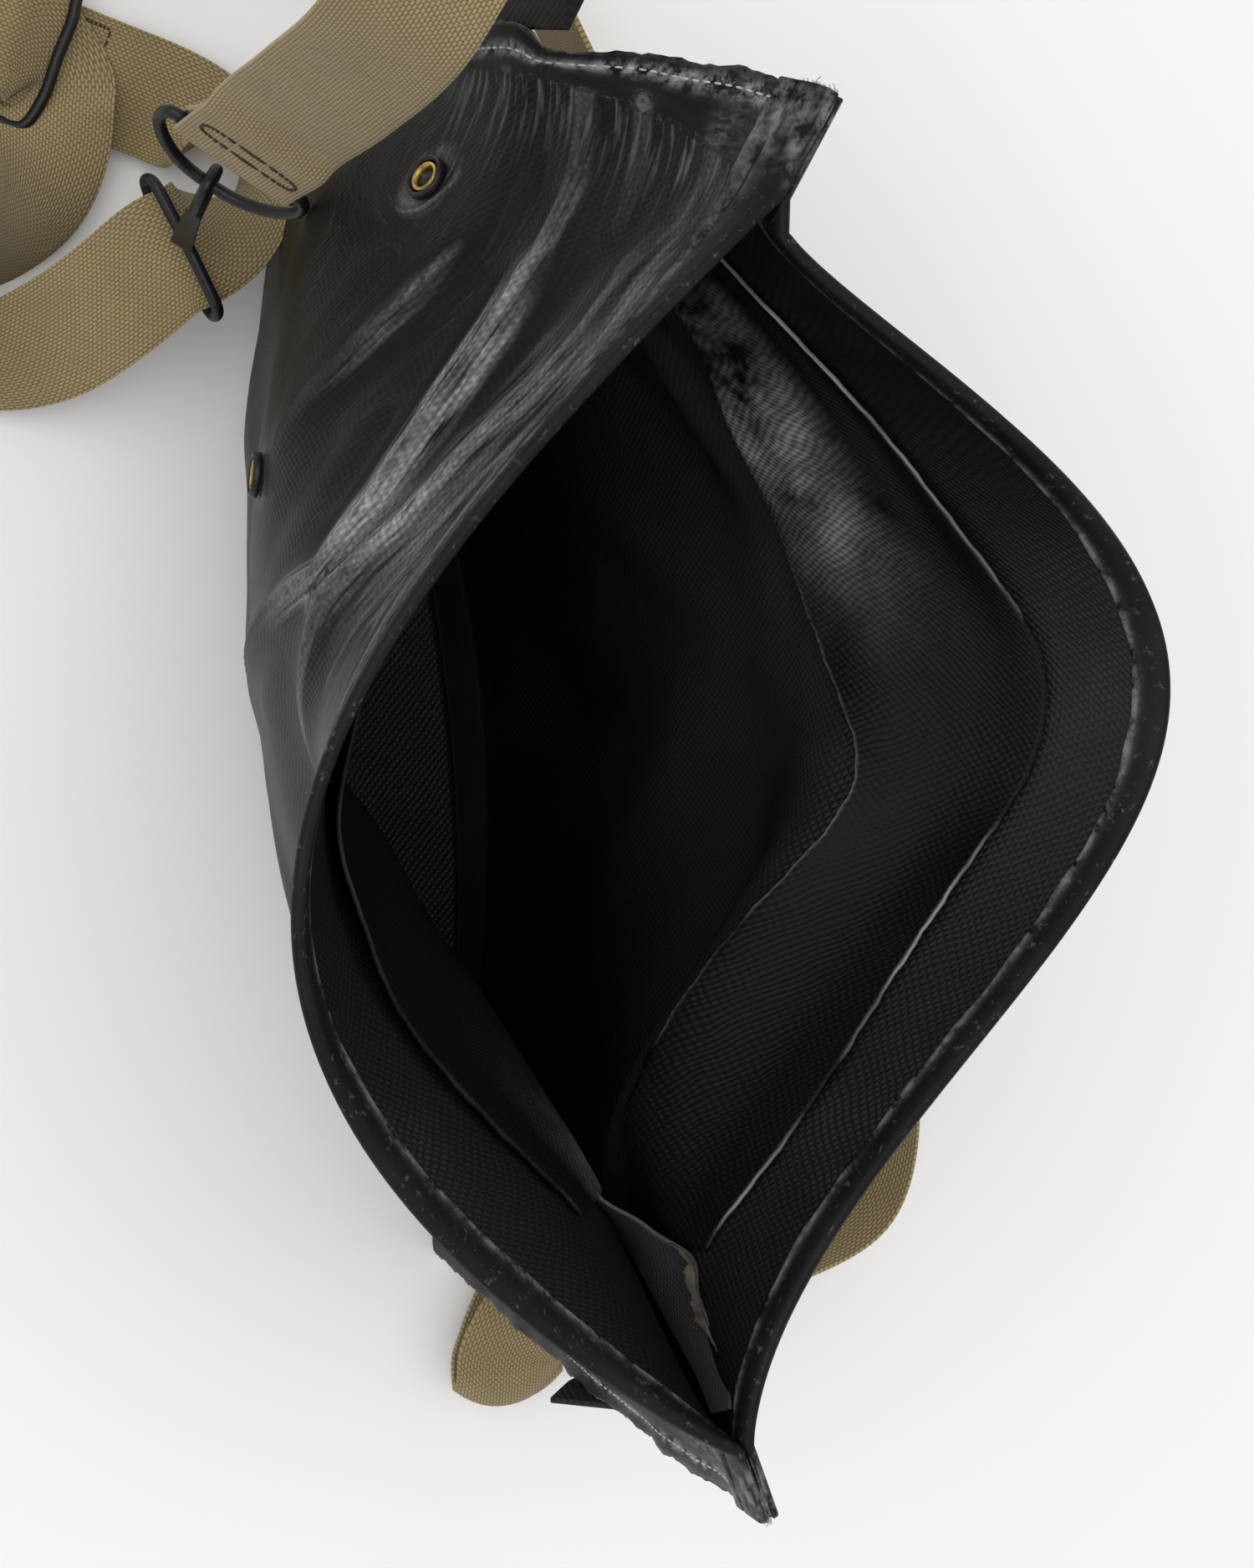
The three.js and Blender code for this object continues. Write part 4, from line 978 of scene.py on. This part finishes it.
def gripRows(seat):
    length, grip = tabMake["length"], tabMake["grip"]
    reaches = [length - grip + 0.3, length - grip / 2, length + 2, length + tabMake["lead"]]
    return [(*(seat["root"] + seat["out"] * reach), *seat["across"]) for reach in reaches]


leftSeat, rightSeat = tabSeat(*tabMake["leftAt"]), tabSeat(*tabMake["rightAt"])
rightSeat["out"], rightAcross = unit(tabMake["rightOut"]), np.array(tabMake["rightAcross"])
rightSeat["across"] = unit(rightAcross - rightSeat["out"] * rightAcross.dot(rightSeat["out"]))

hardware = {  # ring, hook and slide
    "wire": 1.6, "eye": 2.7, "gateThick": 0.9, "gateWidth": (6, 1.6), "gateRound": 0.25,
    "ringBar": (-141, -38, 103), "ringAcross": (0.64, 0.77, 0), "ringWidth": 37, "ringLength": 20,
    "hookBase": (-123.5, -42.9, 46), "hookAcross": (0.94, 0.34, 0), "clear": 3.0, "baseReach": 18.2,
    "slidePlace": (-184, -75, 12), "slideAcross": (0.88, -0.47, 0), "slideLength": 30, "slideWidth": 42,
}
ringStrapRows = [  # x, y, z and the way across the webbing
    (-200.2, 36.7, 166.5, 0.27, 0.58, 0.77), (-211, 39.5, 168, 0.38, 0.85, 0.30),
    (-222.7, 40.5, 174, 0.40, 0.88, 0.25), (-231, 36.7, 190, 0.38, 0.85, 0.37),
    (-233, 27.6, 210, 0.30, 0.85, 0.43), (-227.7, 15.2, 228, 0.27, 0.88, 0.38),
    (-208, 1, 240, 0.25, 0.92, 0.28), (-185, -12, 243, 0.25, 0.93, 0.20),
    (-168, -23, 243, 0.30, 0.94, 0.10), (-155, -30, 226, 0.45, 0.88, 0.05),
    (-148, -34, 180, 0.60, 0.80, 0.00), (-144, -36, 140, 0.64, 0.77, 0.00),
]
hookPasses = [
    (-125.2, -38.2, 45, 0.94, 0.34, 0), (-123.5, -42.9, 46, 0.94, 0.34, 0),
    (-121.8, -47.6, 45.5, 0.94, 0.34, 0),
]
hookLoopRows = [
    (-161, -31.5, 5.5, 0.88, -0.47, 0.05), (-150, -19.5, 17, 0.35, -0.15, 0.92),
    (-139, -18, 23, 0.05, 0.30, 0.95), (-131.5, -27, 34, 0.40, 0.85, 0.30), *hookPasses,
    (-112, -62, 37, 0.92, 0.35, -0.12), (-104, -76, 24, 0.93, 0.22, -0.28),
    (-100, -92, 17, 0.75, 0.05, -0.66), (-102, -107, 18, 0.25, 0.00, -0.97),
    (-113, -111, 18, 0.00, 0.00, -1.00), (-121, -96, 18.5, 0.10, 0.20, -0.97),
    (-129.5, -83, 18, 0.25, 0.45, -0.85), (-140, -74, 16.5, 0.20, 0.75, -0.60),
    (-152, -68.5, 13.5, -0.10, 0.95, -0.30), (-163, -65.5, 10.8, -0.45, 0.88, -0.05),
    (-172, -63.5, 8.8, -0.75, 0.66, 0.00),
]
roundRows = [
    (-198, -100, 13, -0.87, 0.47, -0.05), (-206, -109, 20, -0.45, 0.35, -0.82),
    (-219, -104, 18, 0, 0, -1), (-225, -72, 17, 0, 0, -1), (-226, -20, 17, 0, 0, -1),
    (-223, 20, 17, 0, 0, -1), (-212, 48, 17, 0, 0, -1), (-192, 66, 17, 0, 0, -1),
    (-165, 78, 17, 0, 0, -1), (-130, 90, 17, 0, 0, -1), (-85, 102, 17, 0, 0, -1),
    (-40, 112, 17, 0, 0, -1), (40, 122, 17, 0, 0, -1), (105, 134, 16, 0, -0.35, -0.8),
    (147, 135, 15, -0.25, -0.6, -0.75), (171, 126, 15, -0.5, -0.35, -0.75),
    (181, 100, 15.5, -0.5, -0.05, -0.8), (186, 69, 18, -0.2, -0.15, -0.95), (182, 45, 22, 0, -0.45, -0.9),
    (185, 26, 20, 0, -0.9, -0.45), (196, 17, 16, 0, -1, -0.08), (207, 15, 13.5, 0, -1, 0),
    (213.5, 15.5, 8, 0, -1, 0), (208, 17, 2.9, -0.1, -1, 0), (196, 21, 2.4, -0.35, -0.94, 0),
    (183, 28, 2.4, -0.48, -0.88, 0), (173, 33.5, 2.5, -0.48, -0.88, 0), (166.5, 37, 9, -0.47, -0.88, 0),
    (164.5, 39, 28, -0.3, -0.95, 0), (167, 42, 62, 0, -1, 0), (170, 43, 97, 0, -0.96, -0.25),
]
slideEye = [
    (27, -9.4), (15.5, -8.9), (6, -4.8), (0, -2.8), (-2, -2), (-2.8, 0), (-2, 2), (0, 2.8), (5.5, -0.2),
    (15.5, -6.4), (22, -6.8), (31, -6),
]
slidePass = [
    (7, 2.1), (0, 5.3), (-7, 2.1), (-15.8, -4), (-22, -3.4),
]

ringBar, ringAcross = np.array(hardware["ringBar"], float), unit(hardware["ringAcross"])
ringAhead = ringBar - np.array(ringStrapRows[-1][:3])
ringAhead = unit(ringAhead - ringAcross * ringAhead.dot(ringAcross))
ringFace = np.cross(ringAhead, ringAcross)
eye, slant = hardware["eye"], hardware["eye"] * math.sqrt(0.5)
eyeTurn = [
    (-30, 2.2), (-20, 2.6), (-8, eye), (0, eye), (slant, slant), (eye, 0), (slant, -slant), (0, -eye),
    (-8, -1.3), (-16, 0.1), (-23, 0.2),
]
ringEye = withWay(planePoints(ringBar, ringAhead, ringFace, eyeTurn), ringAcross)
ringRows = [*gripRows(leftSeat), *ringStrapRows, *ringEye]
ringStrap, ringStrapLength = makeWeb("ringStrap", ringRows, "ring_strap")

slideAcross = unit(hardware["slideAcross"])
slideAlong = np.cross((0, 0, 1), slideAcross)
slidePlace = np.array(hardware["slidePlace"], float)
shoulderRows = [
    *withWay(planePoints(slidePlace, slideAlong, (0, 0, 1), slideEye), slideAcross), *hookLoopRows,
    *withWay(planePoints(slidePlace, slideAlong, (0, 0, 1), slidePass), -slideAcross), *roundRows,
    *reversed(gripRows(rightSeat)),
]
shoulderStrap, shoulderLength = makeWeb("shoulderStrap", shoulderRows, "shoulder_strap")
print("straps made:", round(ringStrapLength), "and", round(shoulderLength), "mm")


def wireMesh(name, runs, radius, replaced, material, sides=7):
    bm = bmesh.new()
    for points, closed in runs:
        data = bpy.data.curves.new(name, "CURVE")
        data.dimensions = "3D"
        data.bevel_depth = radius * mm
        data.bevel_resolution = sides
        data.use_fill_caps = True
        spline = data.splines.new("POLY")
        spline.points.add(len(points) - 1)
        for spot, p in zip(spline.points, points):
            spot.co = (*(np.array(p) * mm), 1)
        spline.use_cyclic_u = closed
        holder = bpy.data.objects.new(name, data)
        bm.from_mesh(holder.to_mesh())
        holder.to_mesh_clear()
        bpy.data.objects.remove(holder)
        bpy.data.curves.remove(data)
    return finishPiece(name, bm, [material], replaced)


def wirePiece(name, node, *runs):
    return wireMesh(name, runs, hardware["wire"], [node], enamelLook)


def closedCurve(points, steps):
    p = [np.array(x, float) for x in points]
    around = smoothCurve([*p[-3:], *p, *p[:3]], steps)
    return around[3 * steps:-(2 * steps) - 1]


hookBase, hookAcross = np.array(hardware["hookBase"], float), unit(hardware["hookAcross"])
hookUp = unit(ringBar - hookBase)
ringDown = unit(-hookUp + ringAcross * hookUp.dot(ringAcross))
ringOutline = [
    (0, -1), (0, -0.55), (0, 0), (0, 0.55), (0, 1), (0.28, 1.06), (0.7, 0.8), (0.95, 0.4), (1, 0),
    (0.95, -0.4), (0.7, -0.8), (0.28, -1.06),
]
ringPairs = [(a * hardware["ringLength"], b * hardware["ringWidth"] / 2) for a, b in ringOutline]
ringRun = closedCurve(planePoints(ringBar, ringDown, ringAcross, ringPairs), 8)
wirePiece("strapRing", "strap_ring", (ringRun, True))

hookRise = unit(hookUp - hookAcross * hookUp.dot(hookAcross))
clear, reach = hardware["clear"], hardware["baseReach"]
baseOutline = [
    (-8, -clear), (3 - reach, -clear), (-0.6 - reach, -1), (0.4 - reach, clear), (-8, clear + 1.4),
    (0, clear + 1.6), (8, clear + 1.4), (reach - 0.4, clear), (reach + 0.6, -1), (reach - 3, -clear),
    (8, -clear),
]
bow = ringBar + ringDown * hardware["ringLength"]
hookLength = np.linalg.norm(bow - hookBase)
hookAhead = unit(bow - hookBase)
hookSide = unit(np.cross(hookAhead, ringAcross))
hookRows = [
    (0, clear + 1.6, 0), (0.35, 0, 0.6), (0.62, 0, 3.4), (1, -5, 4.4), (1, -1, 4.4), (1, 2.52, 2.64),
    (1, 3.4, 0), (1, 2.52, -2.64), (1, -1, -4.4), (1, -7, -5),
]
gateRows = [
    (0, clear + 5.2, -3.3), (0.5, 0, -4.2), (1, -8.4, -5.2),
]


def hookPoints(rows):
    spots = [(share * hookLength + beyond, side) for share, beyond, side in rows]
    return planePoints(hookBase, hookAhead, hookSide, spots)


baseRun = smoothCurve(planePoints(hookBase, hookAcross, hookRise, baseOutline), 8)
wirePiece("snapHook", "snap_hook", (baseRun, False), (smoothCurve(hookPoints(hookRows), 8), False))


def makeGate(look):
    path = smoothCurve(hookPoints(gateRows), 8)
    across = unit(np.cross(hookAhead, hookSide))
    bm, s, r = gridVerts(len(path) - 1, 6)
    i = np.rint(s * (len(path) - 1)).astype(int)
    width = look["gateWidth"][0] - look["gateWidth"][1] * s
    putVerts(bm, path[i] + across * ((2 * r - 1) * width / 2)[:, None])
    piece = finishPiece("hookGate", bm, [enamelLook], ["hook_gate"])
    thicken(piece, look["gateThick"])
    roundEdges(piece, look["gateRound"])


makeGate(hardware)

slideOutline = [
    (-1, -0.6), (-1, 0), (-1, 0.6), (-0.8, 1), (0, 1), (0.8, 1), (1, 0.6), (1, 0), (1, -0.6), (0.8, -1),
    (0, -1), (-0.8, -1),
]
slidePairs = [(a * hardware["slideLength"] / 2, b * hardware["slideWidth"] / 2) for a, b in slideOutline]
slideBar = [(0, -hardware["slideWidth"] / 2), (0, 0), (0, hardware["slideWidth"] / 2)]
slideRun = closedCurve(planePoints(slidePlace, slideAlong, slideAcross, slidePairs), 8)
barRun = smoothCurve(planePoints(slidePlace, slideAlong, slideAcross, slideBar), 6)
wirePiece("strapSlide", "strap_slide", (slideRun, True), (barRun, False))
print("hook, ring and slide made")


def makeTab(name, seat, node, look):
    slot, length = look["slot"], look["length"]
    half, mouth = look["wall"] + slot, length - look["grip"]
    side = [(0, look["root"]), (mouth, half), (length, half), (length, slot), (mouth, slot)]
    outline = [(a, -b) for a, b in side] + side[::-1]
    bm = bmesh.new()
    face = np.cross(seat["across"], seat["out"])
    start = seat["root"] - seat["across"] * look["width"] / 2
    corners = [bm.verts.new(p * mm) for p in planePoints(start, seat["out"], face, outline)]
    flat = bm.faces.new(corners)
    grown = bmesh.ops.extrude_face_region(bm, geom=[flat])["geom"]
    moved = [v for v in grown if isinstance(v, bmesh.types.BMVert)]
    bmesh.ops.translate(bm, verts=moved, vec=Vector(seat["across"]) * look["width"] * mm)
    bmesh.ops.recalc_face_normals(bm, faces=bm.faces)
    bmesh.ops.bevel(bm, geom=list(bm.edges), offset=look["round"] * mm, affect="EDGES", segments=2,
                    profile=0.5, material=-1)
    uv = bm.loops.layers.uv.new("cloth")
    for f in bm.faces:
        for loop in f.loops:
            spot = np.array(loop.vert.co) - start * mm
            loop[uv].uv = (spot.dot(seat["out"]), spot.dot(seat["across"]))
    values = {"bloomAndPaintedLight": np.full(len(bm.verts), look["bloomAndPaintedLight"])}
    return finishPiece(name, bm, [outsideLook], [node], values)


leftTab = makeTab("leftTab", leftSeat, "left_tab", tabMake)
rightTab = makeTab("rightTab", rightSeat, "right_tab", tabMake)

studMake = {  # profiles as radius and height
    "gap": 0.5, "sides": 40,
    "ring": [
        (4.0, 0), (5.3, 0), (5.3, 0.8), (5.2, 1.4), (5.0, 1.8), (4.7, 2.0), (4.4, 1.9),
        (4.15, 1.6), (4.0, 1.2),
    ],
    "cup": [
        (2.45, 0.5), (2.6, 0.9), (2.75, 1.4), (3.0, 1.65), (3.4, 1.65), (3.7, 1.4), (3.7, 0.1), (2.45, 0.1),
    ],
    "floor": [(0.0, 0.1), (2.4, 0.1), (2.4, 0.45), (1.4, 0.5), (0.6, 0.8), (0.0, 0.85)],
}


def spunPiece(name, profile, seat, normal, material, node):
    bm = bmesh.new()
    side = Vector(normal).orthogonal().normalized()
    ring = [bm.verts.new((Vector(seat) + side * a + Vector(normal) * b) * mm) for a, b in profile]
    edges = [bm.edges.new((a, b)) for a, b in zip(ring, ring[1:] + ring[:1])]
    bmesh.ops.spin(bm, geom=ring + edges, cent=Vector(seat) * mm, axis=Vector(normal), angle=2 * math.pi,
                   steps=studMake["sides"], use_merge=True)
    bmesh.ops.remove_doubles(bm, verts=bm.verts, dist=0.01 * mm)
    bmesh.ops.recalc_face_normals(bm, faces=bm.faces)
    return finishPiece(name, bm, [material], [node] if node else ())


for number, (studAcross, studUp) in enumerate(panelMake["studs"], 1):
    (spot,), (normal,), _ = wallFrame(frontWall, np.array([studAcross]), np.array([studUp]), 0.02)
    seat = spot + normal * (bagShape["middle"] + bagShape["wall"] / 2 + studMake["gap"])
    ringNode, cupNode = f"stud_ring_{number}", f"stud_cup_{number}"
    spunPiece(f"studRing{number}", studMake["ring"], seat, normal, enamelLook, ringNode)
    spunPiece(f"studCup{number}", studMake["cup"], seat, normal, brassLook, cupNode)
    spunPiece(f"studFloor{number}", studMake["floor"], seat, normal, enamelLook, None)
print("tabs and studs made")

stitchMake = {
    "seam": {"from": 0.04, "to": 0.96, "count": 84, "off": 1.5, "gap": 0.14, "thick": 0.3},
    "oval": {"count": 34, "half": 12.8, "narrow": 3.6, "off": 0.95, "gap": 0.03, "back": 17, "rise": 2.6},
    "box": {
        "corners": [(26, -13), (26, 13), (14, 13), (14, -13), (26, -13)],
        "count": 11, "drop": 5.75, "gap": 0.08,
    },
    "boxThick": 0.45,
    "tab": {"half": 15, "near": 3, "far": 14, "off": 0.05, "gap": 0.1, "thick": 0.38},
}


def threadPiece(name, stitches, thickness, material):
    bm = bmesh.new()
    for start, end in stitches:
        way = Vector(end - start)
        middle = Matrix.Translation(Vector((start + end) / 2) * mm)
        turn = way.to_track_quat("Z", "Y").to_matrix().to_4x4()
        size = Matrix.Diagonal((thickness * mm, thickness * mm, way.length / 2 * mm, 1))
        bmesh.ops.create_uvsphere(bm, u_segments=6, v_segments=4, radius=1, matrix=middle @ turn @ size)
    return finishPiece(name, bm, [material], ())


def stitched(run, gap):
    return [(a * (1 - gap) + b * gap, a * gap + b * (1 - gap)) for a, b in zip(run, run[1:])]


def wallStitches(wall, side, look):
    ups = np.linspace(look["from"], look["to"], look["count"])
    share = stitchShare(np.full(len(ups), float(side)), ups)
    place, normal, _ = wallFrame(wall, 1 + share if side else -share, ups)
    return stitched(place + normal * look["off"], look["gap"])


def ovalStitches(rows, spot, look):
    middle, way, face, _ = webCourse(rows)
    first = int(np.argmin(np.linalg.norm(middle - spot, axis=1)))
    turn = np.linspace(0, 2 * math.pi, look["count"] + 1)
    reach = np.sign(np.cos(turn)) * np.abs(np.cos(turn)) ** 0.45 * look["half"]
    width = np.sign(np.sin(turn)) * np.abs(np.sin(turn)) ** 0.6 * look["narrow"]
    at = first + width / webMake["spacing"]
    centre, side, out = (spotsAt(at, np.arange(len(middle)), run) for run in (middle, way, face))
    return stitched(centre + side * reach[:, None] + out * look["off"], look["gap"])


def boxStitches(look):
    out = []
    for start, end in zip(look["corners"], look["corners"][1:]):
        pairs = np.linspace(start, end, look["count"])
        spots = planePoints(slidePlace - (0, 0, look["drop"]), slideAlong, slideAcross, pairs)
        out += stitched(spots, look["gap"])
    return out


def tabStitches(seat, look):
    face = np.cross(seat["across"], seat["out"]) * (tabMake["wall"] + tabMake["slot"] + look["off"])
    near, far, half = tabMake["length"] - look["near"], tabMake["length"] - look["far"], look["half"]
    out = []
    for side in (-1, 1):
        lines = [np.linspace((along, -half), (along, half), 11) for along in (near, far)]
        lines += [np.linspace((far, edge), (near, edge), 5) for edge in (-half, half)]
        for pairs in lines:
            run = planePoints(seat["root"] + face * side, seat["out"], seat["across"], pairs)
            out += stitched(run, look["gap"])
    return out


seamStitches = []
for wall in (frontWall, rearWall):
    for side in (0, 1):
        seamStitches += wallStitches(wall, side, stitchMake["seam"])
threadPiece("seamThread", seamStitches, stitchMake["seam"]["thick"], paleThread)
ovalSpot = ringBar - ringAhead * stitchMake["oval"]["back"] + ringFace * stitchMake["oval"]["rise"]
darkStitches = ovalStitches(ringRows, ovalSpot, stitchMake["oval"]) + boxStitches(stitchMake["box"])
threadPiece("boxThread", darkStitches, stitchMake["boxThick"], darkThread)
tabRuns = tabStitches(leftSeat, stitchMake["tab"]) + tabStitches(rightSeat, stitchMake["tab"])
threadPiece("tabThread", tabRuns, stitchMake["tab"]["thick"], paleThread)
print("stitches made")

frayMake = {  # loose threads at the frayed corners
    "seed": 7, "count": 26, "length": (1.0, 2.8), "radius": 0.12,
    "share": (0.94, 1.0), "up": (0.955, 1.0), "bend": 0.6,
}


def makeFray(look):
    chance = random.Random(look["seed"])
    runs = []
    for wall, side in ((frontWall, -1), (rearWall, -1), (frontWall, 2), (rearWall, 2)):
        for _ in range(look["count"]):
            share, up = chance.uniform(*look["share"]), chance.uniform(*look["up"])
            across = np.array([-share if side < 0 else 1 + share])
            spot = wallFrame(wall, across, np.array([up]))[0][0]
            way = np.array([side, chance.uniform(-0.8, 0.8), chance.uniform(-0.7, 0.5)])
            way = way / np.linalg.norm(way) * chance.uniform(*look["length"])
            bend = np.array([chance.uniform(-look["bend"], look["bend"]) for _ in range(3)])
            runs.append((smoothCurve([spot, spot + way * 0.5 + bend, spot + way], 4), False))
    wireMesh("frayThreads", runs, look["radius"], (), paleThread, 1)


makeFray(frayMake)
print("loose threads made")

stageLook = {
    "floor": (0.93, 0.925, 0.92), "floorSize": 6, "drop": 0.0003, "world": (1.0, 1.0, 1.0),
    "worldPower": 0.80,
    "power": 9.0, "size": 1.3, "place": (-0.3, -0.4, 1.45),
}


def setStage(look):
    bm = bmesh.new()
    bmesh.ops.create_grid(bm, x_segments=2, y_segments=2, size=look["floorSize"])
    bmesh.ops.translate(bm, verts=bm.verts, vec=(0, 0, -look["drop"]))
    mesh = bpy.data.meshes.new("paleFloor")
    bm.to_mesh(mesh)
    bm.free()
    material, tree, shader = newMaterial("paleFloor")
    setSurface(tree, shader, (*look["floor"], 1), 0.8, 0.1)
    mesh.materials.append(material)
    floor = bpy.data.objects.new("paleFloor", mesh)
    addToScene(floor)
    data = bpy.data.lights.new("softLight", "AREA")
    data.size = look["size"]
    data.energy = look["power"]
    light = bpy.data.objects.new("softLight", data)
    aim = (-Vector(look["place"])).to_track_quat("-Z", "Y").to_matrix().to_4x4()
    light.matrix_world = Matrix.Translation(look["place"]) @ aim
    addToScene(light)
    world = bpy.data.worlds.new("paleRoom")
    world.use_nodes = True
    sky = world.node_tree.nodes["Background"]
    sky.inputs[0].default_value = (*look["world"], 1)
    sky.inputs[1].default_value = look["worldPower"]
    bpy.context.scene.world = world
    bpy.context.scene.view_settings.view_transform = "Standard"


setStage(stageLook)

print("object made")
